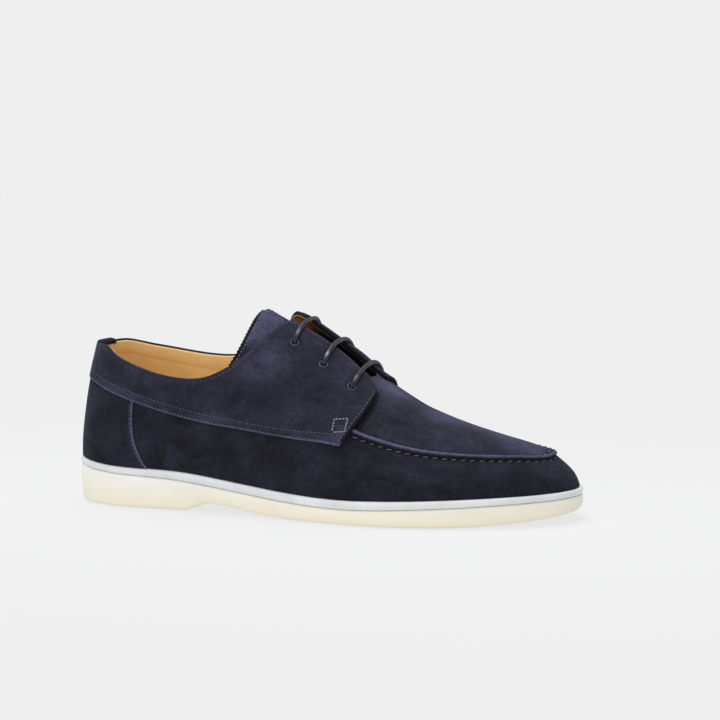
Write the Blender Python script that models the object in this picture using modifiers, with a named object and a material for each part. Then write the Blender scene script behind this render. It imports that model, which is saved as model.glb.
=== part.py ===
"""Right-foot lace-up moc-toe shoe, men's EU 42, as separate closed solids.

World units are metres: +X to the toe, +Y to the inner (medial) side, +Z up, with the origin
on the ground under the middle of the sole. The tables and the last function are in
millimetres, with x counted from the back of the heel, and a column of a table is named by
its namedtuple. Every curved piece is worked out from the same last function.
"""
from collections import namedtuple
from math import acos, cos, exp, pi, radians, sin, sqrt

import bmesh
import bpy
from mathutils import Vector

MM = 0.001

# Driving sizes, in millimetres.
SHOE_LENGTH = 300.0
HEEL_RADIUS = 36.0
TOE_RADIUS = 24.0
TOE_TIP_Y = 6.5
FEATHER_SHARE = 0.955      # the upper's share of the sole's half width
SWELL = 1.2                # how far the wall swells out above the feather line
SWELL_HEIGHT = 11.0
GAP = 0.3                  # clearance between pieces that touch
WALL = 1.8                 # upper and lining together
OVERLAY = 1.6              # quarter leather
OVERLAY_GAP = 0.4
COUNTER = 1.0              # counter leather
INSOLE_THICKNESS = 3.0
INSOLE_INSET = 5.6         # from the sole's edge
BAND_HEIGHT = 5.0          # midsole layer
TONGUE_THICKNESS = 2.4
LACE_RADIUS = 1.4
EYELET_RADIUS = 2.6
THROAT_Y = 4.5             # middle line of the lacing gap
THROAT_HALF = 8.0
THROAT_END = 178.0         # centre of the round front end of the gap
SEAM_HEIGHT = 2.0          # moc seam above the vamp
SEAM_HALF = 1.4
SEAM_START = 182.5         # where the moc seam comes out from under the quarters
SEAM_FULL = 187.0

Outline = namedtuple("Outline", "x centre half")
OUTLINE = [
    Outline(22, 0.0, 30.2),
    Outline(45, 0.0, 34.8),
    Outline(75, -1.0, 35.0),
    Outline(105, -2.5, 35.8),
    Outline(135, -3.5, 40.4),
    Outline(165, -3.0, 46.6),
    Outline(195, -1.5, 51.0),
    Outline(220, 0.5, 50.2),
    Outline(245, 3.0, 45.3),
    Outline(268, 5.0, 36.0),
    Outline(285, 6.0, 25.8),
]

# feather: height of the sole's top edge; crest: height of the last along its top ridge
Rise = namedtuple("Rise", "x feather crest crest_y")
RISES = [
    Rise(0, 26.9, 126.0, 0.0),
    Rise(35, 23.8, 129.0, 0.0),
    Rise(75, 22.6, 129.0, 1.0),
    Rise(105, 19.3, 120.5, 3.5),
    Rise(125, 17.2, 111.3, 5.5),
    Rise(140, 15.8, 105.1, 6.5),
    Rise(150, 15.1, 99.8, 6.5),
    Rise(160, 14.5, 93.3, 6.5),
    Rise(170, 14.2, 85.2, 6.5),
    Rise(180, 14.1, 76.6, 6.5),
    Rise(190, 14.3, 70.0, 6.5),
    Rise(205, 14.9, 61.5, 6.0),
    Rise(230, 16.1, 51.5, 6.0),
    Rise(250, 17.0, 46.0, 6.0),
    Rise(270, 17.9, 41.5, 6.5),
    Rise(300, 19.5, 35.0, 6.5),
]

# exponents of the cross-section's superellipse
Fullness = namedtuple("Fullness", "x side top")
FULLNESS = [
    Fullness(0, 2.2, 2.4),
    Fullness(60, 2.2, 2.4),
    Fullness(105, 2.3, 2.1),
    Fullness(125, 2.6, 1.75),
    Fullness(150, 2.7, 1.6),
    Fullness(175, 2.5, 1.65),
    Fullness(195, 2.3, 1.8),
    Fullness(230, 2.4, 2.0),
    Fullness(270, 2.5, 2.3),
    Fullness(300, 2.5, 2.3),
]

# how far the heel's back and the toe's front lean in, by height above the feather line
Lean = namedtuple("Lean", "height back front")
LEANS = [
    Lean(0, 2.0, 2.0),
    Lean(6, 2.4, 4.4),
    Lean(12, 2.9, 9.2),
    Lean(18, 3.6, 15.2),
    Lean(26, 4.7, 22.6),
    Lean(42, 7.3, 32.0),
    Lean(55, 10.2, 35.0),
    Lean(70, 14.2, 36.0),
    Lean(100, 24.0, 36.0),
]

# height of the collar edge on each side, and of the quarters' lower edge
Edge = namedtuple("Edge", "x outer inner lower")
EDGES = [
    Edge(4, 92.0, 92.0, 73.5),
    Edge(14, 92.8, 92.6, 71.5),
    Edge(24, 91.8, 91.0, 68.6),
    Edge(34, 87.3, 89.0, 65.4),
    Edge(48, 82.0, 86.6, 61.3),
    Edge(62, 78.0, 84.6, 57.5),
    Edge(76, 76.0, 83.6, 54.2),
    Edge(90, 76.8, 84.4, 51.6),
    Edge(102, 81.8, 88.0, 50.1),
    Edge(112, 88.4, 94.0, 49.2),
    Edge(130, 105.0, 105.0, 47.3),
    Edge(155, 105.0, 105.0, 45.1),
    Edge(172, 105.0, 105.0, 43.9),
]

# distance of the collar and facing edges from the gap's middle line
Facing = namedtuple("Facing", "x outer inner")
FACINGS = [
    Facing(118, 26.0, 22.6),
    Facing(122, 22.4, 19.0),
    Facing(126, 18.0, 12.5),
    Facing(130, 12.0, 8.8),
    Facing(134, 8.6, 8.0),
    Facing(140, 8.0, 8.0),
    Facing(170, 8.0, 8.0),
    Facing(178, 8.0, 8.0),
]
FACING_START = 117.0

# plan of the apron inside the moc seam
Apron = namedtuple("Apron", "x centre half")
APRON = [
    Apron(180, 1.7, 37.2),
    Apron(194, 2.2, 38.1),
    Apron(208, 2.9, 37.6),
    Apron(225, 3.9, 35.3),
    Apron(240, 4.8, 31.1),
    Apron(252, 5.3, 26.4),
    Apron(262, 5.5, 21.4),
    Apron(271, 5.5, 15.8),
]
APRON_TIP = 283.5

# underside of the outsole: heel, notch at the waist, tread and toe spring
Ground = namedtuple("Ground", "x height")
GROUND = [
    Ground(0, 0.0),
    Ground(77, 0.0),
    Ground(84, 2.2),
    Ground(92, 5.2),
    Ground(102, 4.7),
    Ground(125, 2.4),
    Ground(158, 0.0),
    Ground(232, 0.0),
    Ground(250, 0.6),
    Ground(268, 2.0),
    Ground(285, 4.2),
    Ground(300, 6.8),
]

# tongue, by distance from the heel: depth of its face below the last's surface
Sink = namedtuple("Sink", "x depth")
SINKS = [
    Sink(100, 3.4),
    Sink(122, 4.2),
    Sink(132, 7.0),
    Sink(178, 7.0),
    Sink(187, 3.0),
    Sink(194, 2.2),
]

# eyelets from the top row down: distance from the heel, and in from the facing edge
Eyelet = namedtuple("Eyelet", "x inset")
EYELETS = [
    Eyelet(140.1, 13.0),
    Eyelet(158.4, 16.8),
    Eyelet(175.0, 17.6),
]

# Columns of the grids: a fan round the heel, straight sections, a fan round the toe.
HEEL_CENTRE_X = 34.0
TOE_CENTRE_X = 262.0
HEEL_FAN = (0, 13, 26, 39, 52, 65, 78)
SECTIONS_X = (34, 48, 62, 76, 90, 102, 112, 120, 127, 132, 140, 151, 162, 172, 182.5, 187,
              192, 200, 212, 226, 240, 252, 262)
TOE_FAN = (74, 58, 43, 28, 14, 0)

# stations of the sole's outline
SOLE_X = (0, 0.6, 2.4, 5.5, 10, 16, 24, 35, 48, 63, 77, 84, 92, 102, 114, 128, 143, 158,
          173, 188, 203, 218, 232, 245, 257, 268, 277, 284.5, 290.5, 295, 298, 299.5, 300)


def smooth(points):
    """Natural cubic curve through (position, value) pairs, held level past its ends."""
    at = [point[0] for point in points]
    to = [point[1] for point in points]
    count = len(at)
    step = [at[i + 1] - at[i] for i in range(count - 1)]
    bend, share, rest = [0.0] * count, [0.0] * count, [0.0] * count
    for i in range(1, count - 1):
        slope_change = (to[i + 1] - to[i]) / step[i] - (to[i] - to[i - 1]) / step[i - 1]
        pivot = (step[i - 1] + step[i]) / 3 - step[i - 1] / 6 * share[i - 1]
        share[i] = step[i] / 6 / pivot
        rest[i] = (slope_change - step[i - 1] / 6 * rest[i - 1]) / pivot
    for i in range(count - 2, 0, -1):
        bend[i] = rest[i] - share[i] * bend[i + 1]

    def value(x):
        x = min(max(x, at[0]), at[-1])
        i = 0
        while i < count - 2 and x > at[i + 1]:
            i += 1
        a = (at[i + 1] - x) / step[i]
        b = 1 - a
        curved = ((a ** 3 - a) * bend[i] + (b ** 3 - b) * bend[i + 1]) * step[i] ** 2 / 6
        return a * to[i] + b * to[i + 1] + curved
    return value


def straight(points):
    """Straight lines through (position, value) pairs, held level past the ends."""
    def value(x):
        x = min(max(x, points[0][0]), points[-1][0])
        for (x0, y0), (x1, y1) in zip(points, points[1:]):
            if x <= x1:
                return y0 + (y1 - y0) * (x - x0) / (x1 - x0)
        return points[-1][1]
    return value


def rounded_half(rows, length, back_radius, front_radius):
    """Half width of a plan with round ends, as a function of x from 0 to length."""
    ends = [(0, sqrt(back_radius * length / 2)), (pi, sqrt(front_radius * length / 2))]
    rounds = [(acos(1 - 2 * x / length), half * length / 2 / sqrt(x * (length - x)))
              for x, half in rows]
    fullness = smooth([ends[0]] + rounds + [ends[1]])

    def half(x):
        if x <= 0 or x >= length:
            return 0.0
        return 2 * sqrt(x * (length - x)) / length * fullness(acos(1 - 2 * x / length))
    return half


sole_half = rounded_half([(row.x, row.half) for row in OUTLINE], SHOE_LENGTH, HEEL_RADIUS,
                         TOE_RADIUS)
sole_centre = smooth([(0, 0)] + [(row.x, row.centre) for row in OUTLINE]
                     + [(SHOE_LENGTH, TOE_TIP_Y)])
feather = smooth([(row.x, row.feather) for row in RISES])
crest = smooth([(row.x, row.crest) for row in RISES])
crest_y = smooth([(row.x, row.crest_y) for row in RISES])
side_power = smooth([(row.x, row.side) for row in FULLNESS])
top_power = smooth([(row.x, row.top) for row in FULLNESS])
lean_back = smooth([(row.height, row.back) for row in LEANS])
lean_front = smooth([(row.height, row.front) for row in LEANS])
collar = {-1: smooth([(row.x, row.outer) for row in EDGES]),
          1: smooth([(row.x, row.inner) for row in EDGES])}
quarter_low = smooth([(row.x, row.lower) for row in EDGES])
facing_half = {-1: smooth([(row.x, row.outer) for row in FACINGS]),
               1: smooth([(row.x, row.inner) for row in FACINGS])}
ground = straight([(row.x, row.height) for row in GROUND])
tongue_depth = straight([(row.x, row.depth) for row in SINKS])
apron_rows = smooth([(row.x, row.half) for row in APRON])
apron_centre = smooth([(row.x, row.centre) for row in APRON])


def apron_half(x):
    """Half width of the apron, with a round front end that meets the table's last row."""
    last = APRON[-1]
    if x <= last.x:
        return apron_rows(x)
    share = (APRON_TIP - x) / (APRON_TIP - last.x)
    return last.half * sqrt(max(share, 0.0)) if share > 0 else -1.0


def last_value(x, y, z):
    """Distance in y from the last's surface: negative inside the last, positive outside."""
    rise = z - feather(x)
    back, front = lean_back(rise), lean_front(rise)
    beyond = max(back - x, x - SHOE_LENGTH + front)
    up = max(rise / (crest(x) - feather(x)), 0.0)
    middle = sole_centre(x) + (crest_y(x) - sole_centre(x)) * min(up, 1.0) ** 1.5
    if beyond >= 0 or up >= 1:
        return abs(y - middle) + max(beyond, 0.0) + 50 * max(up - 1, 0.0)
    half = sole_half(SHOE_LENGTH * (x - back) / (SHOE_LENGTH - back - front)) * FEATHER_SHARE
    if rise > 0:
        half += min(SWELL, half / 20) * rise / SWELL_HEIGHT * exp(1 - rise / SWELL_HEIGHT)
    return abs(y - middle) - half * (1 - up ** top_power(x)) ** (1 / side_power(x))


HALVINGS = 28              # of a search interval
LAST_REACH = 140.0         # longer than any ray inside the last
NORMAL_STEP = 0.4


def last_hit(origin, direction):
    """Where a ray from inside the last leaves it."""
    near, far = 0.0, LAST_REACH
    for _ in range(HALVINGS):
        middle = (near + far) / 2
        if last_value(*(origin + direction * middle)) < 0:
            near = middle
        else:
            far = middle
    return origin + direction * near


def last_normal(point):
    """Outward normal of the last at a point of its surface."""
    steps = (Vector((NORMAL_STEP, 0, 0)), Vector((0, NORMAL_STEP, 0)),
             Vector((0, 0, NORMAL_STEP)))
    slope = [last_value(*(point + step)) - last_value(*(point - step)) for step in steps]
    return Vector(slope).normalized()


def last_top(x, y):
    """The last's surface over a point of its plan."""
    return last_hit(Vector((x, y, feather(x) + 1)), Vector((0, 0, 1)))


ALONG_REACH = 30.0         # from a fan's centre to the wall, for reading the edge tables
SWEEP_HEIGHT = 8.0         # centre of the upward sweeps, above the feather line


class Column:
    """One upright section through the last: where it stands and which way it looks."""

    def __init__(self, side, x, angle=90.0, toe=False):
        turn = radians(angle)
        self.side = side
        self.angle = angle
        self.foot = Vector((x, sole_centre(x), feather(x)))
        self.way = Vector(((1 if toe else -1) * cos(turn), side * sin(turn), 0))
        self.along = x + self.way.x * ALONG_REACH

    def at_height(self, z):
        origin = Vector((self.foot.x, self.foot.y, z))
        return last_hit(origin, self.way)

    def above_feather(self, height):
        """The surface point a given height above the feather line that it stands over."""
        point = self.foot
        for _ in range(4):
            point = self.at_height(feather(point.x) + height)
        return point

    def origin(self):
        return self.foot + Vector((0, 0, SWEEP_HEIGHT))

    def sweep(self, low, high, share, bow=0.0):
        """A surface point part of the way round from one surface point to another."""
        start = (low - self.origin()).normalized()
        end = (high - self.origin()).normalized()
        arc = start.angle(end)
        way = start * sin((1 - share) * arc) + end * sin(share * arc)
        way = way.normalized() + Vector((bow * share * (1 - share), 0, 0))
        return last_hit(self.origin(), way.normalized())


def columns(side):
    """The columns of one side, from the back of the heel to the tip of the toe."""
    heel = [Column(side, HEEL_CENTRE_X, angle) for angle in HEEL_FAN]
    middle = [Column(side, x) for x in SECTIONS_X]
    toe = [Column(side, TOE_CENTRE_X, angle, toe=True) for angle in TOE_FAN]
    return heel + middle + toe


def collar_point(column):
    """The top edge of the quarter or collar in a column behind the vamp."""
    x = column.foot.x
    if x < FACING_START or column.angle < 90:
        return column.at_height(collar[column.side](column.along))
    return last_top(x, THROAT_Y + column.side * facing_half[column.side](x))


def apron_point(column):
    """Where the column's plane crosses the moc seam."""
    near, far = 0.0, LAST_REACH
    for _ in range(HALVINGS):
        middle = (near + far) / 2
        place = column.foot + column.way * middle
        if abs(place.y - apron_centre(place.x)) < apron_half(place.x):
            near = middle
        else:
            far = middle
    place = column.foot + column.way * near
    return last_top(place.x, place.y)


def offset(point, distance):
    return point + last_normal(point) * distance


# the origin lies in the middle of the sole's outline
MIDDLE = Vector((SHOE_LENGTH / 2,
                 (max(sole_centre(x) + sole_half(x) for x in SOLE_X)
                  + min(sole_centre(x) - sole_half(x) for x in SOLE_X)) / 2, 0))


def world(point):
    return (point - MIDDLE) * MM


def material(name, colour, roughness):
    made = bpy.data.materials.new(name)
    made.use_nodes = True
    shader = made.node_tree.nodes["Principled BSDF"]
    shader.inputs["Base Color"].default_value = (*colour, 1.0)
    shader.inputs["Roughness"].default_value = roughness
    shader.inputs["Metallic"].default_value = 0.0
    made.diffuse_color = (*colour, 1.0)
    return made


def add_object(name, mesh_maker, look, collection):
    """An object whose mesh is filled by mesh_maker(bm)."""
    mesh = bpy.data.meshes.new(name)
    bm = bmesh.new()
    mesh_maker(bm)
    bmesh.ops.recalc_face_normals(bm, faces=bm.faces)
    bm.to_mesh(mesh)
    bm.free()
    mesh.materials.append(look)
    made = bpy.data.objects.new(name, mesh)
    collection.objects.link(made)
    return made


def grid_sheet(bm, rows, closed=False):
    """A sheet over rows of points of equal length, closed round the row where asked."""
    lines = [[bm.verts.new(world(point)) for point in row] for row in rows]
    count = len(rows[0])
    for low, high in zip(lines, lines[1:]):
        for i in range(count if closed else count - 1):
            j = (i + 1) % count
            bm.faces.new((low[i], low[j], high[j], high[i]))
    return lines


def thicken(made, thickness, outward=False):
    """Turn a sheet, whose normals look outward, into a closed wall."""
    wall = made.modifiers.new("Wall", "SOLIDIFY")
    wall.thickness = thickness * MM
    wall.offset = 1.0 if outward else -1.0
    wall.use_even_offset = False
    return wall


def face_outward(made):
    """Flip a sheet whose normals look into the last."""
    mesh = made.data
    centre = world(Vector((150, 0, 30)))
    total = sum((face.center - centre).normalized().dot(face.normal) * face.area
                for face in mesh.polygons)
    if total < 0:
        mesh.flip_normals()


# ---------------------------------------------------------------- upper

WALL_ROWS = (0.0, 0.16, 0.36, 0.58, 0.8)
LAST_WALL_ROW = 0.94       # the row below the parting line where there is no moc seam
QUARTER_ROWS = (0.0, 0.05, 0.13, 0.24, 0.36, 0.49, 0.62, 0.75, 0.88, 1.0)


def seam_share(column):
    """0 where the wall is plain, 1 where the moc seam stands at its full height."""
    x = column.foot.x
    return min(max((x - SEAM_START) / (SEAM_FULL - SEAM_START), 0.0), 1.0)


def middle_point(column):
    """The line that parts the side wall from the top: the moc seam, then its run back."""
    if column.foot.x >= SEAM_START:
        return apron_point(column)
    return column.at_height(quarter_low(column.along))


def throat_point(column, place):
    """The edge of the collar, the facing or the round front end of the gap."""
    if column.foot.x <= THROAT_END:
        return collar_point(column)
    turn = pi / 2 * (1 - place)
    x = THROAT_END + THROAT_HALF * cos(turn)
    return last_top(x, THROAT_Y + column.side * THROAT_HALF * sin(turn))


def upper_column(column, place):
    """Points of the upper's outer face from the feather line to the top edge."""
    low = column.above_feather(GAP)
    low = column.above_feather(GAP + WALL * max(last_normal(low).z, 0))
    middle = middle_point(column)
    high = throat_point(column, place)
    share = seam_share(column)
    vamp = column.foot.x > THROAT_END
    points = [column.sweep(low, middle, step) for step in WALL_ROWS]
    span = (middle - low).length
    below_seam = share * (1 - SEAM_HALF / span) + (1 - share) * LAST_WALL_ROW
    points.append(column.sweep(low, middle, below_seam))
    points.append(offset(middle, share * SEAM_HEIGHT))
    span = (high - middle).length
    edge = share * SEAM_HALF / span + (1 - share) * QUARTER_ROWS[1]
    for step in (edge,) + QUARTER_ROWS[2:]:
        if vamp:
            plan = middle.lerp(high, step)
            points.append(last_top(plan.x, plan.y))
        else:
            points.append(column.sweep(middle, high, step))
    return points


def build_upper(look, collection):
    loop = []
    for side in (-1, 1):
        line = columns(side)
        vamp = [column for column in line if column.foot.x > THROAT_END]
        made = []
        for column in line:
            place = (vamp.index(column) + 1) / len(vamp) if column in vamp else 0.0
            made.append(upper_column(column, place))
        loop += made if side < 0 else made[-2:0:-1]
    rows = [list(row) for row in zip(*loop)]
    upper = add_object("upper", lambda bm: grid_sheet(bm, rows, closed=True), look, collection)
    face_outward(upper)
    thicken(upper, WALL)
    return upper


# ---------------------------------------------------------------- quarters and counter

QUARTER_LAST_X = 173.0     # its straight columns end here; the curved front edge follows
BACK_SEAM_TURN = 0.35      # degrees each quarter stops short of the back's middle
# (lower x, lower z, upper x, upper half width, forward bow) of each column of the front edge
FRONT_COLUMNS = ((176.0, 44.6, 181.0, 8.4, 0.14), (178.4, 48.6, 184.6, 12.4, 0.2))
COUNTER_ROWS = (0.0, 0.2, 0.4, 0.6, 0.8, 1.0)
COUNTER_LOW = 1.0          # lower edge above the feather line
COUNTER_HIGH = 0.6         # upper edge below the quarters' edge
# (upper x, lower x, bow) of each column at the counter's front
COUNTER_FRONT = ((40.0, 44.0, 0.0), (46.0, 54.5, -0.32))


def quarter_columns(side):
    """Outer face of a quarter, in columns from the back seam to its front edge."""
    made = []
    for column in columns(side):
        if column.foot.x > QUARTER_LAST_X:
            break
        if column.angle == 0:
            column = Column(side, HEEL_CENTRE_X, BACK_SEAM_TURN)
        low = column.at_height(quarter_low(column.along))
        high = collar_point(column)
        made.append([column.sweep(low, high, step) for step in QUARTER_ROWS])
    for low_x, low_z, high_x, high_half, bow in FRONT_COLUMNS:
        column = Column(side, (low_x + high_x) / 2)
        low = Column(side, low_x).at_height(low_z)
        high = last_top(high_x, THROAT_Y + side * high_half)
        made.append([column.sweep(low, high, step, bow) for step in QUARTER_ROWS])
    return [[offset(point, OVERLAY_GAP + OVERLAY) for point in line] for line in made]


def build_quarter(side, look, collection):
    name = "quarter_outer" if side < 0 else "quarter_inner"
    rows = quarter_columns(side)[::-side]
    quarter = add_object(name, lambda bm: grid_sheet(bm, rows), look, collection)
    face_outward(quarter)
    thicken(quarter, OVERLAY)
    return quarter


def counter_columns(side):
    """Outer face of the heel counter on one side, from the back to its front edge."""
    made = []
    heel = [Column(side, HEEL_CENTRE_X, angle) for angle in HEEL_FAN]
    for column in heel + [Column(side, HEEL_CENTRE_X)]:
        low = column.above_feather(COUNTER_LOW)
        high = column.at_height(quarter_low(column.along) - COUNTER_HIGH)
        made.append([column.sweep(low, high, step) for step in COUNTER_ROWS])
    for high_x, low_x, bow in COUNTER_FRONT:
        column = Column(side, (low_x + high_x) / 2)
        low = Column(side, low_x).above_feather(COUNTER_LOW)
        high = Column(side, high_x).at_height(quarter_low(high_x) - COUNTER_HIGH)
        made.append([column.sweep(low, high, step, bow) for step in COUNTER_ROWS])
    return [[offset(point, GAP + COUNTER) for point in line] for line in made]


def build_counter(look, collection):
    rows = counter_columns(1)[::-1] + counter_columns(-1)[1:]
    counter = add_object("counter", lambda bm: grid_sheet(bm, rows), look, collection)
    face_outward(counter)
    thicken(counter, COUNTER)
    return counter


# ---------------------------------------------------------------- heel tab

TAB_ANGLES = (-24, -12, 0, 12, 24)
TAB_OUTSIDE = 5.0
TAB_INSIDE = 3.5
TAB_THICKNESS = 1.0
TAB_TOP_TURNS = (25, 55, 90, 125, 155)
TAB_TOP_SHARE = 0.75       # height of the fold's arch, as a share of its half width


def tab_profile():
    """(height from the collar edge, offset from the last) round the folded strip's inside."""
    out = OVERLAY + 2.5 * GAP
    inn = -WALL - 2 * GAP
    middle, radius = (out + inn) / 2, (out - inn) / 2
    down = [(-TAB_OUTSIDE, out), (-TAB_OUTSIDE / 2, out), (-0.5, out)]
    arch = [(radius * TAB_TOP_SHARE * sin(radians(turn)), middle + radius * cos(radians(turn)))
            for turn in TAB_TOP_TURNS]
    back = [(-0.5, inn), (-TAB_INSIDE / 2, inn), (-TAB_INSIDE, inn)]
    return down + arch + back


def build_tab(look, collection):
    rows = []
    for angle in TAB_ANGLES:
        column = Column(-1, HEEL_CENTRE_X, angle)
        edge = collar[-1](column.along)
        line = []
        for height, distance in tab_profile():
            base = column.at_height(edge + min(height, 0))
            normal = last_normal(base)
            level = Vector((normal.x, normal.y, 0)).normalized()
            line.append(base + level * distance + Vector((0, 0, max(height, 0) + GAP)))
        rows.append(line)
    tab = add_object("heel_tab", lambda bm: grid_sheet(bm, rows), look, collection)
    face_outward(tab)
    thicken(tab, TAB_THICKNESS, outward=True)
    return tab


# ---------------------------------------------------------------- tongue

TONGUE_TURNS = (-54, -43, -32, -21, -10, 1, 12, 23, 34, 45, 54)
TONGUE_END_X = 116.5
TONGUE_END_DROP = 12.5     # how far back the free end's corners reach
TONGUE_END_ROUND = 1.6     # power of the free end's curve
TONGUE_ROOT_X = 193.0
TONGUE_STEPS = 11
TONGUE_CENTRE = 0.42       # centre of its fan, as a share of the last's height


def build_tongue(look, collection):
    rows = []
    for turn in TONGUE_TURNS:
        reach = abs(turn) / TONGUE_TURNS[-1]
        end = TONGUE_END_X - TONGUE_END_DROP * reach ** TONGUE_END_ROUND
        line = []
        for step in range(TONGUE_STEPS):
            x = end + (TONGUE_ROOT_X - end) * step / (TONGUE_STEPS - 1)
            base_z = feather(x) + TONGUE_CENTRE * (crest(x) - feather(x))
            origin = Vector((x, crest_y(x), base_z))
            way = Vector((0, sin(radians(turn)), cos(radians(turn))))
            line.append(offset(last_hit(origin, way), -tongue_depth(x)))
        rows.append(line)
    tongue = add_object("tongue", lambda bm: grid_sheet(bm, rows), look, collection)
    face_outward(tongue)
    thicken(tongue, TONGUE_THICKNESS)
    return tongue


# ---------------------------------------------------------------- sole and insole

OUTLINE_STEP = 0.05        # for the direction of the edge


def plan_point(x, side, inset, height):
    """A point of the sole's outline, moved inward across the edge."""
    low, high = max(x - OUTLINE_STEP, 0.0), min(x + OUTLINE_STEP, SHOE_LENGTH)
    start = Vector((low, sole_centre(low) + side * sole_half(low), 0))
    end = Vector((high, sole_centre(high) + side * sole_half(high), 0))
    if x <= 0:
        inward = Vector((1, 0, 0))
    elif x >= SHOE_LENGTH:
        inward = Vector((-1, 0, 0))
    else:
        along = (end - start).normalized()
        inward = Vector((along.y * side, -along.x * side, 0))
    place = Vector((x, sole_centre(x) + side * sole_half(x), 0)) + inward * inset
    return Vector((place.x, place.y, height(place.x)))


def outline_ring(inset, height):
    outer = [plan_point(x, -1, inset, height) for x in SOLE_X]
    inner = [plan_point(x, 1, inset, height) for x in SOLE_X[1:-1]]
    return outer + inner[::-1]


def plate(bm, rings):
    """A closed plate: outline rings from the underside to the top, closed across."""
    lines = grid_sheet(bm, rings, closed=True)
    count = len(lines[0])
    for line in (lines[0], lines[-1]):
        for i in range(len(SOLE_X) - 1):
            corners = [line[i], line[i + 1], line[-i - 1], line[-i % count]]
            corners = list(dict.fromkeys(corners))
            bm.faces.new(corners)


def build_outsole(look, collection):
    def side_top(x):
        return feather(x) - BAND_HEIGHT - GAP

    def share(part):
        return lambda x: ground(x) + (side_top(x) - ground(x)) * part
    rings = [
        outline_ring(6.0, ground),
        outline_ring(2.8, lambda x: ground(x) + 0.35),
        outline_ring(1.0, lambda x: ground(x) + 1.7),
        outline_ring(0.2, lambda x: ground(x) + 4.0),
        outline_ring(0.2, share(0.75)),
        outline_ring(0.7, side_top),
    ]
    return add_object("outsole", lambda bm: plate(bm, rings), look, collection)


def build_midsole(look, collection):
    rings = [
        outline_ring(0.6, lambda x: feather(x) - BAND_HEIGHT),
        outline_ring(0.0, lambda x: feather(x) - BAND_HEIGHT + 0.6),
        outline_ring(0.0, lambda x: feather(x) - 0.7),
        outline_ring(0.7, feather),
    ]
    return add_object("midsole", lambda bm: plate(bm, rings), look, collection)


def build_insole(look, collection):
    rings = [
        outline_ring(INSOLE_INSET, lambda x: feather(x) + GAP),
        outline_ring(INSOLE_INSET, lambda x: feather(x) + GAP + INSOLE_THICKNESS - 0.6),
        outline_ring(INSOLE_INSET + 1.2, lambda x: feather(x) + GAP + INSOLE_THICKNESS),
    ]
    return add_object("insole", lambda bm: plate(bm, rings), look, collection)


# ---------------------------------------------------------------- eyelets and lace

CUTTER_LENGTH = 14.0
LACE_OVER = 0.8            # room between the bars and the quarters
LACE_UNDER = 1.5           # room between the hidden runs and the upper's inside
BAR_SHARES = (0.0, 0.15, 0.38, 0.62, 0.85, 1.0)
RUN_SHARES = ((0.0, 0.0), (0.25, 1.0), (0.75, 1.0), (1.0, 0.0))


def eyelet(side, row):
    """Centre of an eyelet on the last, and the outward normal there."""
    place = EYELETS[row]
    point = last_top(place.x, THROAT_Y + side * (THROAT_HALF + place.inset))
    return point, last_normal(point)


def cut_eyelets(pieces, collection):
    for piece, _ in pieces:
        facets = piece.modifiers.new("Facets", "TRIANGULATE")
        facets.quad_method = "FIXED"
    for side in (-1, 1):
        for row in range(len(EYELETS)):
            point, normal = eyelet(side, row)
            bpy.ops.mesh.primitive_cylinder_add(vertices=12, radius=EYELET_RADIUS * MM,
                                                depth=CUTTER_LENGTH * MM,
                                                location=world(point))
            cutter = bpy.context.object
            cutter.name = f"eyelet_cutter_{side}_{row}"
            cutter.rotation_euler = normal.to_track_quat("Z", "Y").to_euler()
            for holder in cutter.users_collection:
                holder.objects.unlink(cutter)
            collection.objects.link(cutter)
            cutter.display_type = "WIRE"
            cutter.hide_render = True
            for piece, piece_side in pieces:
                if piece_side in (0, side):
                    cut = piece.modifiers.new("Eyelet", "BOOLEAN")
                    cut.object = cutter
                    cut.solver = "EXACT"


def over_wall(point):
    """Middle of a lace that lies on the quarter over a point of the last."""
    return offset(point, 2 * GAP + OVERLAY + LACE_RADIUS + LACE_OVER)


def under_wall(point):
    """Middle of a lace that lies inside the upper, under a point of the last."""
    return offset(point, -WALL - LACE_RADIUS - LACE_UNDER)


def bar(side, row):
    """A bar from the eyelet on one side, across the gap, to the other."""
    start, end = eyelet(side, row)[0], eyelet(-side, row)[0]
    line = []
    for share in BAR_SHARES:
        flat = start.lerp(end, share)
        line.append(over_wall(last_top(flat.x, flat.y)))
    return line


def inner_run(side, first, last, aside):
    """The lace under a facing, a little nearer to or farther from the gap than the eyelets."""
    start, end = EYELETS[first], EYELETS[last]
    line = []
    for share, clear in RUN_SHARES:
        x = start.x + (end.x - start.x) * share
        inset = start.inset + (end.inset - start.inset) * share
        reach = THROAT_HALF + inset + aside * clear
        line.append(under_wall(last_top(x, THROAT_Y + side * reach)))
    return line


def lace_route():
    """From the hidden end by the inner top eyelet to the one by the outer top eyelet."""
    route = inner_run(1, 0, 1, -3.2)[1:]
    route += bar(1, 1)
    route += inner_run(-1, 1, 2, 0.0)
    route += bar(-1, 2)
    route += inner_run(1, 2, 0, 3.4)
    route += bar(1, 0)
    route += inner_run(-1, 0, 1, 0.0)[:2]
    return route


def rounded(points, steps=3):
    """A quadratic B-spline: it cuts each corner of the route and never overshoots."""
    line = [points[0]]
    for before, corner, after in zip(points, points[1:], points[2:]):
        start, end = (before + corner) / 2, (corner + after) / 2
        for i in range(steps):
            share = i / steps
            line.append(start.lerp(corner, share).lerp(corner.lerp(end, share), share))
    return line + [(points[-2] + points[-1]) / 2, points[-1]]


def build_lace(look, collection):
    guide = bpy.data.curves.new("lace", "CURVE")
    guide.dimensions = "3D"
    guide.bevel_depth = LACE_RADIUS * MM
    guide.bevel_resolution = 2
    guide.use_fill_caps = True
    line = guide.splines.new("POLY")
    route = rounded(lace_route())
    line.points.add(len(route) - 1)
    for point, place in zip(line.points, route):
        point.co = (*world(place), 1.0)
    made = bpy.data.objects.new("lace", guide)
    collection.objects.link(made)
    guide.materials.append(look)
    return made


# ---------------------------------------------------------------- assembly

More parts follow.
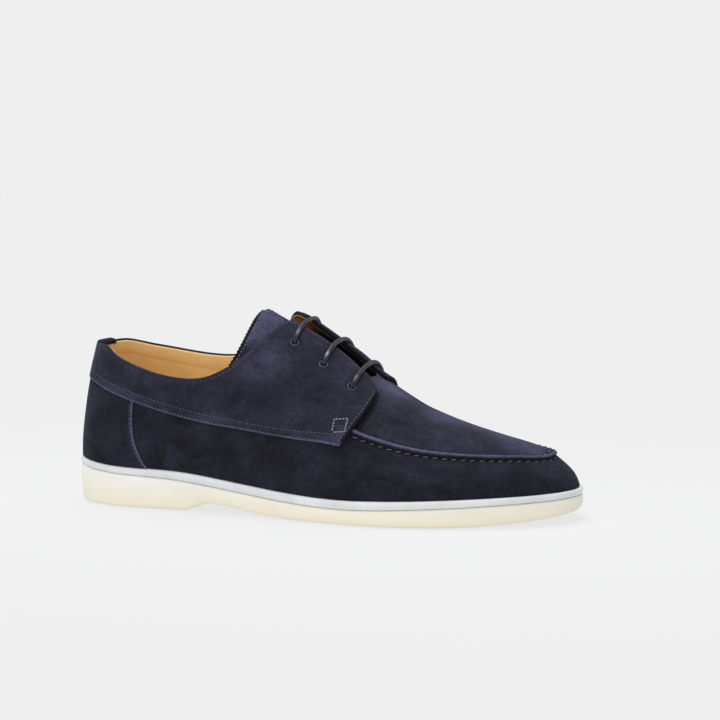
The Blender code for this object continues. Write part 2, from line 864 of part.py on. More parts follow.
for old in list(bpy.data.objects):
    bpy.data.objects.remove(old, do_unlink=True)

shoe = bpy.data.collections.new("lace_up_moc_shoe")
cutters = bpy.data.collections.new("cutters")
bpy.context.scene.collection.children.link(shoe)
bpy.context.scene.collection.children.link(cutters)

navy = material("navy_suede", (0.027, 0.028, 0.052), 0.95)
navy_trim = material("navy_trim", (0.022, 0.023, 0.044), 0.95)
lining = material("tan_lining", (0.56, 0.33, 0.09), 0.6)
cream = material("cream_rubber", (0.80, 0.77, 0.66), 0.55)
white = material("white_rubber", (0.73, 0.75, 0.75), 0.5)
cord = material("waxed_cord", (0.02, 0.02, 0.03), 0.45)

build_outsole(cream, shoe)
build_midsole(white, shoe)
build_insole(lining, shoe)
upper_wall = build_upper(navy, shoe)
quarter_walls = [(build_quarter(side, navy, shoe), side) for side in (-1, 1)]
build_counter(navy_trim, shoe)
build_tab(navy_trim, shoe)
build_tongue(navy_trim, shoe)
cut_eyelets([(upper_wall, 0)] + quarter_walls, cutters)
build_lace(cord, shoe)
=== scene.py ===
"""Looks of a right-foot lace-up moc-toe shoe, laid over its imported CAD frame.

The tables and the shapes are worked out in millimetres, with x counted from the back of
the heel, y to the inner (medial) side and z up from the ground, and are turned into the
frame's metres as each mesh is made.
"""
from math import cos, pi, radians, sin

import bpy
import numpy as np
from mathutils import Matrix, Vector


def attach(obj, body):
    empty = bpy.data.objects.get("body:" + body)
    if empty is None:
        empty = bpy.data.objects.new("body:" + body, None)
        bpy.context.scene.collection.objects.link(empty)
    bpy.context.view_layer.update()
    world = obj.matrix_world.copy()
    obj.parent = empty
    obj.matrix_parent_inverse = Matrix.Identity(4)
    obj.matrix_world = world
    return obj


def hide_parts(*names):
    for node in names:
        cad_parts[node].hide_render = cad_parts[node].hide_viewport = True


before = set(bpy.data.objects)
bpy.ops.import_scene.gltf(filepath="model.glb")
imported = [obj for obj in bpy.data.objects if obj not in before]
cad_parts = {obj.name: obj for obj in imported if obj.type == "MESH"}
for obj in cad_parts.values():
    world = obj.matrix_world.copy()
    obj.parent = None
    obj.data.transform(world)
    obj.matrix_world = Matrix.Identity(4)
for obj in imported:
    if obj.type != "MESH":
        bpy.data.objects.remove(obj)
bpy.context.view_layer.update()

bpy.ops.object.select_all(action="DESELECT")


# ---------------------------------------------------------------- camera, floor and light
# A long lens a little above the floor, turned towards the toe, as a shop takes a shoe.
# The floor is a pale paper sweep that curves up all round; a wide soft box hangs over the
# shoe, a white card lights its side from the front, and a small lamp lifts the toe.

CAMERA_AZIMUTH = radians(21.0)
CAMERA_ELEVATION = radians(8.0)
CAMERA_ROLL = radians(-0.6)
CAMERA_DISTANCE = 1.3
CAMERA_TARGET = (0, 0.0008, 0.045)
CAMERA_LENS = 114.1
CAMERA_SHIFT = (0.0517, 0.0973)

bpy.ops.object.camera_add()
camera = bpy.context.object
camera.name = "camera"
camera.matrix_world = (
    Matrix.Translation(CAMERA_TARGET) @ Matrix.Rotation(CAMERA_AZIMUTH, 4, "Z")
    @ Matrix.Rotation(pi / 2 - CAMERA_ELEVATION, 4, "X") @ Matrix.Rotation(CAMERA_ROLL, 4, "Z")
    @ Matrix.Translation((0, 0, CAMERA_DISTANCE)))
camera.data.sensor_width = 36.0
camera.data.lens = CAMERA_LENS
camera.data.shift_x, camera.data.shift_y = CAMERA_SHIFT
camera.data.clip_end = 50.0
bpy.context.scene.camera = camera
bpy.context.scene.view_settings.view_transform = "Standard"

FLOOR_RADIUS = 3.0
SWEEP_RADIUS = 1.6


def linear(hex_colour):
    """An sRGB hex colour as linear red, green, blue and alpha."""
    channels = [int(hex_colour[i:i + 2], 16) / 255 for i in (1, 3, 5)]
    return [c / 12.92 if c <= 0.04045 else ((c + 0.055) / 1.055) ** 2.4
            for c in channels] + [1.0]


def node(tree, kind, inputs=None, stops=(), **settings):
    """Adds one shader node with its settings, the places and colours of its ramp's stops,
    its input values and its links, which come from a socket or a node's first output."""
    made = tree.nodes.new("ShaderNode" + kind)
    for name, value in settings.items():
        setattr(made, name, value)
    for name, value in (inputs or {}).items():
        if isinstance(value, bpy.types.Node):
            value = next(output for output in value.outputs if output.enabled)
        if isinstance(value, bpy.types.NodeSocket):
            tree.links.new(value, made.inputs[name])
        else:
            made.inputs[name].default_value = value
    if stops:
        bands = made.color_ramp.elements
        for _ in stops[2:]:
            bands.new(0.5)
        for band, (position, colour) in zip(bands, stops):
            band.position, band.color = position, linear(colour)
    return made


def begin_material(name):
    """An empty material, its node tree and the object's coordinates in it."""
    made = bpy.data.materials.new(name)
    made.use_nodes = True
    made.node_tree.nodes.clear()
    return made, made.node_tree, node(made.node_tree, "TexCoord").outputs["Object"]


bpy.ops.mesh.primitive_circle_add(vertices=96, radius=FLOOR_RADIUS, fill_type="NGON")
floor = bpy.context.object
floor.name = "paper_sweep"
bpy.ops.object.mode_set(mode="EDIT")
bpy.ops.mesh.select_mode(type="EDGE")
bpy.ops.mesh.select_all(action="SELECT")
bpy.ops.mesh.region_to_loop()
turns = np.linspace(0, pi / 2, 11)
for before, after in zip(turns, turns[1:]):
    bpy.ops.mesh.extrude_region_move()
    bpy.ops.transform.translate(value=(0, 0, SWEEP_RADIUS * (cos(before) - cos(after))))
    widen = ((FLOOR_RADIUS + SWEEP_RADIUS * sin(after))
             / (FLOOR_RADIUS + SWEEP_RADIUS * sin(before)))
    bpy.ops.transform.resize(value=(widen, widen, 1))
bpy.ops.object.mode_set(mode="OBJECT")
bpy.ops.object.shade_smooth()

# Pale grey paper. It is lit from behind away from the shoe, so that it stays even there, and
# takes the shoe's soft shadow near it.
paper, tree, where = begin_material("backlit_background_paper")
flat = node(tree, "VectorMath", {0: where, 1: (0.55, 1.0, 1.0)}, operation="MULTIPLY")
away = node(tree, "VectorMath", {0: flat}, operation="LENGTH")
backlit = node(tree, "MapRange", {"Value": away, "From Min": 0.05, "From Max": 0.34,
                                  "To Min": 0.78, "To Max": 1.0},
               interpolation_type="SMOOTHSTEP")
shaded = node(tree, "BsdfDiffuse", {"Color": linear("#e4e4e4")})
glowing = node(tree, "Emission", {"Color": linear("#efefef"), "Strength": 1.0})
sheet = node(tree, "MixShader", {0: backlit, 1: shaded, 2: glowing})
node(tree, "OutputMaterial", {"Surface": sheet})
floor.data.materials.append(paper)

world = bpy.data.worlds.new("studio")
world.use_nodes = True
sky = world.node_tree.nodes["Background"].inputs
sky["Color"].default_value = linear("#f4f6fa")
sky["Strength"].default_value = 0.6
bpy.context.scene.world = world

# (name, place, size across, power)
LAMPS = (("soft_box", (-0.25, 0.25, 1.9), 1.5, 30.0),
         ("front_card", (-0.35, -2.0, 0.6), 1.4, 14.0),
         ("toe_light", (1.4, -0.3, 1.1), 0.7, 1.2))
for name, spot, across, power in LAMPS:
    bpy.ops.object.light_add(type="AREA", location=spot)
    lamp = bpy.context.object
    lamp.name = name
    lamp.data.size = across
    lamp.data.energy = power
    lamp.rotation_euler = (-Vector(spot)).to_track_quat("-Z", "Y").to_euler()


# ---------------------------------------------------------------- outsole
# One moulded block of pale foamed rubber with a low heel, a notch at the waist and a light
# toe spring. Its wall bulges a little and its lower edge is well rounded by the mould.

SHOE_LENGTH = 300.0
HEEL_RADIUS = 36.0
TOE_RADIUS = 24.0
TOE_TIP_Y = 6.5
GAP = 0.3

# x, centre line, half width of the sole's outline
OUTLINE = ((22, 0, 30.2), (45, 0, 34.8), (75, -1, 35), (105, -2.5, 35.8),
           (135, -3.5, 40.4), (165, -3, 46.6), (195, -1.5, 51), (220, 0.5, 50.2),
           (245, 3, 45.3), (268, 5, 36), (285, 6, 25.8))
# x, height of the sole's top edge, height and y of the last's top ridge
RISES = ((0, 26.9, 126, 0), (35, 23.8, 129, 0), (75, 22.6, 129, 1),
         (105, 19.3, 120.5, 3.5), (125, 17.2, 111.3, 5.5), (140, 15.8, 105.1, 6.5),
         (150, 15.1, 99.8, 6.5), (160, 14.5, 93.3, 6.5), (170, 14.2, 85.2, 6.5),
         (180, 14.1, 76.6, 6.5), (190, 14.3, 70, 6.5), (205, 14.9, 61.5, 6),
         (230, 16.1, 51.5, 6), (250, 17, 46, 6), (270, 17.9, 41.5, 6.5),
         (300, 19.5, 35, 6.5))
# x, height of the underside: heel, notch, tread and toe spring
GROUND = ((0, 0), (77, 0), (84, 2.2), (92, 5.2), (102, 4.6), (125, 1.4), (145, 0.2),
          (158, 0), (232, 0), (250, 0.5), (268, 1.6), (285, 3.4), (300, 5.4))
SOLE_STATIONS = 150
NUDGE = 0.05                     # half the step over which the outline's slope is taken
# shares of the way across the sole between its two walls
ACROSS = np.linspace(0, 1, 22)[1:-1]


def smooth(rows, column=1):
    """Natural cubic curve through one column of a table, held level past its ends."""
    at, to = np.array([(row[0], row[column]) for row in rows], float).T
    step = np.diff(at)
    system = np.eye(len(at))
    for i in range(1, len(at) - 1):
        system[i, i - 1:i + 2] = step[i - 1] / 6, (step[i - 1] + step[i]) / 3, step[i] / 6
    bend = np.linalg.solve(system, np.pad(np.diff(np.diff(to) / step), 1))

    def value(x):
        x = np.clip(x, at[0], at[-1])
        i = np.clip(np.searchsorted(at, x, side="right") - 1, 0, len(at) - 2)
        a = (at[i + 1] - x) / step[i]
        b = 1 - a
        curved = ((a ** 3 - a) * bend[i] + (b ** 3 - b) * bend[i + 1]) * step[i] ** 2 / 6
        return a * to[i] + b * to[i + 1] + curved
    return value


def rounded_half(rows, length, back_radius, front_radius):
    """Half width of a plan with round ends, as a function of x from 0 to length."""
    rounds = [(0.0, (back_radius * length / 2) ** 0.5)]
    for x, _, half in rows:
        around = np.arccos(1 - 2 * x / length)
        rounds.append((around, half * length / 2 / (x * (length - x)) ** 0.5))
    rounds.append((pi, (front_radius * length / 2) ** 0.5))
    fullness = smooth(rounds)

    def half(x):
        x = np.clip(x, 0, length)
        return 2 * np.sqrt(x * (length - x)) / length * fullness(np.arccos(1 - 2 * x / length))
    return half


sole_half = rounded_half(OUTLINE, SHOE_LENGTH, HEEL_RADIUS, TOE_RADIUS)
sole_centre = smooth(((0, 0.0),) + OUTLINE + ((SHOE_LENGTH, TOE_TIP_Y),))
feather = smooth(RISES)
MIDDLE = np.array((SHOE_LENGTH / 2, -0.8, 0.0))


def ground(x):
    """Height of the underside."""
    return np.interp(x, *zip(*GROUND))


def plan_edge(x, side, inset):
    """Points of the sole's outline moved inward across its edge, as x and y."""
    low, high = np.clip((x - NUDGE, x + NUDGE), 0, SHOE_LENGTH)
    run = high - low
    rise = sole_centre(high) - sole_centre(low) + side * (sole_half(high) - sole_half(low))
    length = np.hypot(run, rise)
    inward_x, inward_y = side * rise / length, -side * run / length
    inward_x = np.where(x <= 0, 1.0, np.where(x >= SHOE_LENGTH, -1.0, inward_x))
    inward_y = np.where((x <= 0) | (x >= SHOE_LENGTH), 0.0, inward_y)
    y = sole_centre(x) + side * sole_half(x)
    return x + inward_x * inset, y + inward_y * inset


def lay_grid(name, points, **marks):
    """A grid primitive laid over rows of points in millimetres and closed where they meet;
    each mark is a value for every point that its material reads."""
    rows, across = points.shape[:2]
    bpy.ops.mesh.primitive_grid_add(x_subdivisions=across - 1, y_subdivisions=rows - 1)
    made = bpy.context.object
    made.name = made.data.name = name
    made.data.vertices.foreach_set("co", ((points - MIDDLE) * 0.001).ravel())
    for mark, values in marks.items():
        layer = made.data.attributes.new(mark, "FLOAT", "POINT")
        layer.data.foreach_set("value", values.ravel())
    bpy.ops.object.mode_set(mode="EDIT")
    bpy.ops.mesh.select_all(action="SELECT")
    bpy.ops.mesh.remove_doubles(threshold=5e-6)
    bpy.ops.mesh.normals_make_consistent(inside=False)
    bpy.ops.object.mode_set(mode="OBJECT")
    bpy.ops.object.shade_smooth()
    return made


def plate(name, profile, crown=0.0):
    """A closed plate between two walls, whose profile rows are inset, height function and
    what is added to it; the top's middle rises by the crown."""
    x = SHOE_LENGTH * (1 - np.cos(np.linspace(0, pi, SOLE_STATIONS))) / 2
    walls = []
    for side in (-1, 1):
        edges = [plan_edge(x, side, inset) for inset, _, _ in profile]
        walls.append(np.array([np.stack((px, py, height(px) + more), -1)
                               for (px, py), (_, height, more) in zip(edges, profile)]))
    outer, inner = walls
    share = ACROSS[:, None, None]
    top = outer[-1] + (inner[-1] - outer[-1]) * share
    top[..., 2] += crown * (4 * share * (1 - share))[..., 0] * np.minimum(1, sole_half(x) / 20)
    base = inner[0] + (outer[0] - inner[0]) * share
    loop = np.concatenate((outer, top, inner[::-1], base, outer[:1]))
    return lay_grid(name, loop)


# x, how far the white band's top and bottom edges lie below the last's lower edge
BAND = ((0, 0, 4), (45, 0, 4.2), (85, 0, 5), (195, 0.2, 5), (220, 0.6, 5),
        (250, 0.9, 5), (300, 1.4, 5))
BAND_EDGES = np.transpose(BAND)


def band_top(x):
    """Height of the white band's top edge."""
    return feather(x) - np.interp(x, *BAND_EDGES[:2])


def band_bottom(x):
    """Height of the groove under the white band."""
    return feather(x) - np.interp(x, *BAND_EDGES[::2])


def outsole_top(x):
    """Height of the cream block's top."""
    return band_bottom(x) - GAP


def up_the_wall(part):
    """Height function part of the way from the tread to the top of the wall."""
    return lambda x: ground(x) + (outsole_top(x) - ground(x)) * part


outsole = plate("outsole_rubber", (
    (7.5, ground, 0), (5.6, ground, 0), (4.2, ground, 0.1), (2.9, ground, 0.42),
    (1.8, ground, 1.05), (1.0, ground, 2.0), (0.5, ground, 3.3), (0.2, up_the_wall(0.42), 0),
    (0.1, up_the_wall(0.56), 0), (0.1, up_the_wall(0.7), 0), (0.12, up_the_wall(0.85), 0),
    (0.2, outsole_top, -0.9), (0.38, outsole_top, -0.42), (0.75, outsole_top, -0.08),
    (1.3, outsole_top, 0.15), (2.2, outsole_top, 0.2)))
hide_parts("outsole")
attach(outsole, "root")


# Moulded foam rubber: cream, finely grained and a little translucent, yellower low down.
foam_rubber, tree, where = begin_material("moulded_foam_rubber")
cloud = node(tree, "TexNoise", {"Vector": where, "Scale": 45.0, "Detail": 3.0})
tint = node(tree, "ValToRGB", {"Fac": cloud}, stops=((0.3, "#e2e1d8"), (0.7, "#eae9e2")))
height = node(tree, "SeparateXYZ", {0: where}).outputs["Z"]
low = node(tree, "MapRange", {"Value": height, "From Min": 0.001, "From Max": 0.018,
                              "To Min": 0.85, "To Max": 0.0})
yellowed = node(tree, "Mix", {"Factor": low, "A": tint, "B": linear("#e8dfc4")},
                data_type="RGBA")
grain = node(tree, "TexNoise", {"Vector": where, "Scale": 1400.0, "Detail": 2.0})
relief = node(tree, "Bump", {"Height": grain, "Distance": 0.00012, "Strength": 0.35})
rubber = node(tree, "BsdfPrincipled", {
    "Base Color": yellowed, "Roughness": 0.55, "IOR": 1.5, "Subsurface Weight": 0.12,
    "Subsurface Radius": (0.004, 0.003, 0.002), "Subsurface Scale": 1.0, "Normal": relief})
node(tree, "OutputMaterial", {"Surface": rubber})
outsole.data.materials.append(foam_rubber)


# ---------------------------------------------------------------- midsole band
# A white rubber strip, 4 to 5 mm high, that is cemented round the top of the outsole. A fine
# shallow groove marks where the two meet.


def band_middle(x):
    """Height half way up the band."""
    return (band_top(x) + band_bottom(x)) / 2


midsole = plate("midsole_band", (
    (2.2, band_bottom, 0), (1.3, band_bottom, 0), (0.7, band_bottom, 0.15),
    (0.3, band_bottom, 0.55), (0.08, band_bottom, 1.1), (0.0, band_middle, 0),
    (0.05, band_top, -1.2), (0.3, band_top, -0.45), (0.8, band_top, -0.08),
    (1.6, band_top, 0), (2.4, band_top, 0)))
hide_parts("midsole")
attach(midsole, "root")

# White rubber, satin, with the fine grain of its mould.
white_rubber, tree, where = begin_material("white_band_rubber")
cloud = node(tree, "TexNoise", {"Vector": where, "Scale": 60.0, "Detail": 2.0})
tint = node(tree, "ValToRGB", {"Fac": cloud}, stops=((0.35, "#cdd0d0"), (0.7, "#dadcdc")))
grain = node(tree, "TexNoise", {"Vector": where, "Scale": 900.0, "Detail": 2.0})
relief = node(tree, "Bump", {"Height": grain, "Distance": 0.0001, "Strength": 0.3})
rubber = node(tree, "BsdfPrincipled", {"Base Color": tint, "Roughness": 0.42, "IOR": 1.5,
                                       "Normal": relief})
node(tree, "OutputMaterial", {"Surface": rubber})
midsole.data.materials.append(white_rubber)


# ---------------------------------------------------------------- insole
# The footbed: a tan leather sheet over thin foam that lies inside the upper, on the
# midsole. Its edge is skived, and the foot's place is pressed in a little.

insole = plate("leather_footbed", (
    (4.6, feather, GAP), (4.2, feather, GAP + 0.4), (4.0, feather, GAP + 2.4),
    (4.3, feather, GAP + 3.0), (5.6, feather, GAP + 3.2)), crown=-1.2)
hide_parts("insole")
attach(insole, "root")

# Vegetable-tanned sheep leather, glazed: an even honey tan with a pebbled grain of about
# 0.6 mm, a soft semi-matt shine, and painted shade, brown and then nearly black, under the
# facings.
tan_leather, tree, where = begin_material("vegetable_tanned_leather")
cloud = node(tree, "TexNoise", {"Vector": where, "Scale": 38.0, "Detail": 4.0,
                                "Roughness": 0.6})
tint = node(tree, "ValToRGB", {"Fac": cloud}, stops=((0.3, "#e1b76f"), (0.72, "#edca8b")))
dye = node(tree, "Attribute", attribute_name="dye").outputs["Fac"]
painted_shade_tone = node(tree, "ValToRGB", {"Fac": dye},
             stops=((0.0, "#ffffff"), (0.45, "#b08a70"), (1.0, "#100e0c")))
dyed = node(tree, "Mix", {"Factor": 1.0, "A": tint, "B": painted_shade_tone}, data_type="RGBA",
            blend_type="MULTIPLY")
pebble = node(tree, "TexVoronoi", {"Vector": where, "Scale": 1500.0})
relief = node(tree, "Bump", {"Height": pebble, "Distance": 0.00012, "Strength": 0.5})
leather = node(tree, "BsdfPrincipled", {"Base Color": dyed, "Roughness": 0.5, "IOR": 1.45,
                                        "Normal": relief})
node(tree, "OutputMaterial", {"Surface": leather})
insole.data.materials.append(tan_leather)


# ---------------------------------------------------------------- upper
# The vamp and its apron in soft navy suede, 1 mm thick, pulled over the last. The wall runs
# all round from the sole to the raised seam, and back under the quarters to the collar.
# Below the seam the hand stitches pull the wall into small puckers.

FEATHER_SHARE = 0.955            # half width of the last's lower edge, to the sole's
SWELL = 1.2                      # how far the last bulges out, low down
SWELL_HEIGHT = 11.0
HEEL_CENTRE_X = 34.0             # where the fans of sections at heel and toe stand
TOE_CENTRE_X = 262.0
ALONG_REACH = 30.0
SWEEP_HEIGHT = 8.0
THROAT_Y = 4.5                   # the lacing gap: its middle, half width and front end
THROAT_HALF = 8.0
THROAT_END = 178.0
THROAT_ROUND = 0.25              # how far its front end bows forward, to its half width
SEAM_START = 182.5
SEAM_PITCH = 5.2                 # one hand stitch of the raised seam
APRON_TIP = 283.9
FACING_START = 118.0             # where the collar turns into the facings
SUEDE = 1.0
COLLAR_FOLD = 3.4                # the quarters' folded edge reaches this far inside
RAY_LENGTH = 140.0

# x, exponents of the cross-section's superellipse at its side and its top
FULLNESS = ((0, 2.2, 2.4), (60, 2.2, 2.4), (105, 2.3, 2.1), (125, 2.6, 1.75),
            (150, 2.7, 1.6), (175, 2.5, 1.65), (195, 2.3, 1.8), (230, 2.4, 2),
            (270, 2.5, 2.3), (300, 2.5, 2.3))
# height above the sole's top edge, lean of the heel's back and of the toe's front
LEANS = ((0, 2, 2), (6, 2.4, 4.8), (12, 2.9, 10.1), (18, 3.6, 16.3), (26, 4.7, 23.2),
         (42, 7.3, 32), (55, 10.2, 35), (70, 14.2, 36), (100, 24, 36))
# x, height of the collar on the outer and the inner side, and of the quarters' lower edge
EDGES = ((4, 92, 92, 73.5), (14, 92.8, 92.6, 71.5), (24, 91.8, 91, 68.6),
         (34, 87.3, 89, 65.4), (48, 82, 86.6, 61.3), (62, 78, 84.6, 57.5),
         (76, 76, 83.6, 54.2), (90, 76.8, 84.4, 51.6), (102, 81.8, 88, 50.1),
         (112, 88.4, 94, 49.2), (130, 105, 105, 47.3), (155, 105, 105, 45.1),
         (172, 105, 105, 43.9))
# x, distance of the outer and the inner collar and facing from the lacing gap's middle
FACINGS = ((118, 26, 21.4), (122, 22.4, 17), (126, 18, 12.5), (130, 12, 9),
           (134, 8.6, 8), (140, 8, 8), (170, 8, 8), (178, 8, 8))
# x, centre and half width of the apron inside the raised seam
APRON = ((180, 1.7, 39.2), (187, 2, 39.6), (195, 2.3, 39.5), (208, 2.9, 38.8), (225, 3.9, 36.6),
         (240, 4.8, 32.6), (252, 5.3, 28), (262, 5.5, 23), (271, 5.5, 17.4))

# where the worn-in shape differs: the inner facing's top corner stands off, and the facing
# ahead of it lies lower: middle, how high and how wide
LIFTS = (((132, 13, 106), 1.7, 9), ((154, 14, 92), -1.3, 13))

crest, crest_y = smooth(RISES, 2), smooth(RISES, 3)
side_power, top_power = smooth(FULLNESS), smooth(FULLNESS, 2)
lean_back, lean_front = smooth(LEANS), smooth(LEANS, 2)
collar = {-1: smooth(EDGES, 1), 1: smooth(EDGES, 2)}
quarter_low = smooth(EDGES, 3)
facing_half = {-1: smooth(FACINGS, 1), 1: smooth(FACINGS, 2)}
apron_centre, apron_rows = smooth(APRON, 1), smooth(APRON, 2)


def last_value(x, y, z):
    """Distance in y from the last's surface: negative inside the last, positive outside."""
    rise = z - feather(x)
    back, front = lean_back(rise), lean_front(rise)
    beyond = np.maximum(back - x, x - SHOE_LENGTH + front)
    up = np.maximum(rise / (crest(x) - feather(x)), 0.0)
    low_up = np.minimum(up, 1.0)
    middle = sole_centre(x) + (crest_y(x) - sole_centre(x)) * low_up ** 1.5
    off = np.abs(y - middle)
    half = sole_half(SHOE_LENGTH * (x - back) / (SHOE_LENGTH - back - front)) * FEATHER_SHARE
    swell = np.minimum(SWELL, half / 20) * rise / SWELL_HEIGHT * np.exp(1 - rise / SWELL_HEIGHT)
    half = half + np.where(rise > 0, swell, 0.0)
    wall = off - half * (1 - low_up ** top_power(x)) ** (1 / side_power(x))
    outside = off + np.maximum(beyond, 0.0) + 50 * np.maximum(up - 1, 0.0)
    return np.where((beyond >= 0) | (up >= 1), outside, wall)


def norm(vectors):
    """Lengths of vectors."""
    return np.linalg.norm(vectors, axis=-1)


def bell(distance, width):
    """1 at no distance, falling softly to nothing about two widths away."""
    return np.exp(-(distance / width) ** 2)


def leave(origin, way, inside):
    """Where rays first leave a form, found by halving."""
    near = np.zeros(origin.shape[:-1])
    far = near + RAY_LENGTH
    for _ in range(28):
        reach = (near + far) / 2
        within = inside(origin + way * reach[..., None])
        near, far = np.where(within, reach, near), np.where(within, far, reach)
    return origin + way * near[..., None]


def last_hit(origin, way):
    """Where rays from inside the last leave it."""
    origin, way = np.broadcast_arrays(origin, way)
    spot = leave(origin, way, lambda points: last_value(*np.moveaxis(points, -1, 0)) < 0)
    for middle, lift, size in LIFTS:
        spot = spot + way * lift * bell(norm(spot - middle), size)[..., None]
    return spot


def last_top(x, y):
    """The last's surface over points of its plan."""
    x, y = np.broadcast_arrays(x, y)
    return last_hit(np.stack((x, y, feather(x) + 1), -1), np.array((0.0, 0.0, 1.0)))


def unit(vectors):
    """Vectors brought to a length of 1."""
    return vectors / norm(vectors)[..., None]


def last_normal(points):
    """Outward normals of the last at points of its surface."""
    slopes = [last_value(*np.moveaxis(points + step, -1, 0))
              - last_value(*np.moveaxis(points - step, -1, 0)) for step in np.eye(3) * 0.4]
    return unit(np.stack(slopes, -1))


def stand(side, heel_turns, sections, toe_turns=()):
    """Feet and ways of upright sections: a fan at the heel, a row, and a fan at the toe."""
    x = np.concatenate((np.full(len(heel_turns), HEEL_CENTRE_X), sections,
                        np.full(len(toe_turns), TOE_CENTRE_X)))
    turn = np.radians(np.concatenate((heel_turns, np.full(len(sections), 90.0), toe_turns)))
    sign = np.where(np.arange(len(x)) < len(heel_turns), -1.0, 1.0)
    way = np.stack((sign * np.cos(turn), side * np.sin(turn), 0 * turn), -1)
    return np.stack((x, sole_centre(x), feather(x)), -1), way


def at_height(foot, way, z):
    """Surface points of upright sections at given heights."""
    origin = foot.copy()
    origin[..., 2] = z
    return last_hit(origin, way)


def above_band(foot, way, height):
    """Surface points of upright sections a little above the sole's white band."""
    point = foot
    for _ in range(4):
        point = at_height(foot, way, band_top(point[..., 0]) + height)
    return point


def sweep(foot, low, high, share, bow=0.0):
    """Surface points part of the way up each section; shares are rows by sections."""
    centre = foot + (0, 0, SWEEP_HEIGHT)
    start, end = unit(low - centre), unit(high - centre)
    arc = np.arccos(np.clip((start * end).sum(-1, keepdims=True), -1, 1))
    share = share[..., None]
    way = unit(start * np.sin((1 - share) * arc) + end * np.sin(share * arc))
    push = 4 * share * (1 - share) * np.asarray(bow, float)[..., None]
    return last_hit(centre + push * np.array((1.0, 0.0, 0.0)), way)


def apron_half(x):
    """Half width of the apron, with a round front end."""
    share = np.clip((APRON_TIP - x) / (APRON_TIP - APRON[-1][0]), 0, 1)
    return np.where(x <= APRON[-1][0], apron_rows(x),
                    np.where(x < APRON_TIP, APRON[-1][2] * np.sqrt(share), -1.0))


def apron_edge(foot, way):
    """Where upright sections cross the raised seam."""
    spot = leave(foot, way, lambda points: np.abs(
        points[:, 1] - apron_centre(points[:, 0])) < apron_half(points[:, 0]))
    return last_top(spot[:, 0], spot[:, 1])


def ease(value, start, end):
    """0 before start, 1 after end, with a soft change between."""
    share = np.clip((value - start) / (end - start), 0, 1)
    return share * share * (3 - 2 * share)


def collar_edge(side, foot, way):
    """The top edge of collar and facing in sections behind the vamp."""
    along = foot[:, 0] + way[:, 0] * ALONG_REACH
    rear = at_height(foot, way, np.minimum(collar[side](along), crest(foot[:, 0]) - 2))
    front = last_top(foot[:, 0], THROAT_Y + side * facing_half[side](foot[:, 0]))
    blend = ease(foot[:, 0], FACING_START - 2.5, FACING_START + 2.5)[:, None]
    centre = foot + (0, 0, SWEEP_HEIGHT)
    return last_hit(centre, unit(rear + (front - rear) * blend - centre))


def graded(span, near_low, near_high, between):
    """Shares of each span: set distances from its two ends, and even steps between."""
    low = np.array(near_low)[:, None] / span
    high = 1 - np.array(near_high)[::-1, None] / span
    steps = np.linspace(0, 1, between + 2)[1:-1, None]
    return np.concatenate((low, low[-1] + (high[0] - low[-1]) * steps, high))


def upper_side(side, sections, turn_steps, tuck, throat_half, wall_rows, roof_rows):
    """One side of the upper on the last: its rows from sole to top edge, and how far each
    point is from the raised seam, below zero on the wall, and from the top edge. The tuck
    keeps the top edge below the collar and the facing."""
    foot, way = stand(side, np.arange(0, 89, turn_steps[0]), sections,
                      np.arange(88, -0.1, -turn_steps[1]))
    x = foot[:, 0]
    low = above_band(foot, way, 0.15)
    behind = at_height(foot, way, quarter_low(x + way[:, 0] * ALONG_REACH))
    blend = ease(x, SEAM_START - 30, SEAM_START)[:, None]
    middle = behind + (apron_edge(foot, way) - behind) * blend
    middle = last_hit(foot + (0, 0, SWEEP_HEIGHT), unit(middle - foot - (0, 0, SWEEP_HEIGHT)))
    back = x <= THROAT_END
    high = np.empty_like(low)
    high[back] = collar_edge(side, foot[back], way[back])
    span = norm(high - middle)
    tucked = sweep(foot, middle, high, (1 - tuck(x) / span)[None])[0]
    high = np.where(back[:, None], tucked, high)
    turn = pi / 2 * (1 - np.linspace(0, 1, (~back).sum()))
    high[~back] = last_top(THROAT_END + THROAT_ROUND * throat_half * np.cos(turn),
                           THROAT_Y + side * throat_half * np.sin(turn))
    span = norm(middle - low)
    shares = graded(span, *wall_rows)
    wall = sweep(foot, low, middle, shares)
    away, down = [(shares - 1) * span], [99 + 0 * shares]
    span = norm(high - middle)
    shares = graded(span, *roof_rows)
    plan = middle + (high - middle) * shares[..., None]
    roof = np.where(back[None, :, None], sweep(foot, middle, high, shares),
                    last_top(plan[..., 0], plan[..., 1]))
    away, down = away + [shares * span], down + [(1 - shares) * span]
    return np.concatenate((wall, roof)), np.concatenate(away), np.concatenate(down)


def both_sides(*shape):
    """Rows from the heel along the outer side to the toe, and back along the inner side."""
    outer_side, inner_side = upper_side(-1, *shape), upper_side(1, *shape)
    return [np.concatenate((one, other[:, -2::-1]), axis=1)
            for one, other in zip(outer_side, inner_side)]


def panel(name, face, normals, outer, inner, **marks):
    """A closed sheet of leather between two offsets from a face; where the offsets meet,
    at its cut edges, the two sides are joined."""
    outside = face + normals * outer[..., None]
    inside = face + normals * inner[..., None]
    loop = np.concatenate((outside, inside[::-1], outside[:1]))
    for mark, values in marks.items():
        marks[mark] = np.concatenate((values, values[::-1], values[:1]))
    return lay_grid(name, loop, **marks)


def nap_and_light_patches(points, base, patches):
    """How light the suede is at each point: a base, and soft patches (middle, size, amount),
    some where the nap was stroked up or down, some painted light and shade."""
    nap = np.zeros(points.shape[:2]) + base
    for middle, size, amount in patches:
        nap = nap + amount * bell(norm(points - middle), size)
    return nap


def from_edges(face):
    """Distances of a face's points from its low, its top, its first and its last edge."""
    return [norm(face - edge) for edge in (face[:1], face[-1:], face[:, :1], face[:, -1:])]


def travelled(path):
    """How far along a path each of its points lies."""
    return np.concatenate(([0], np.cumsum(norm(np.diff(path, axis=0)))))


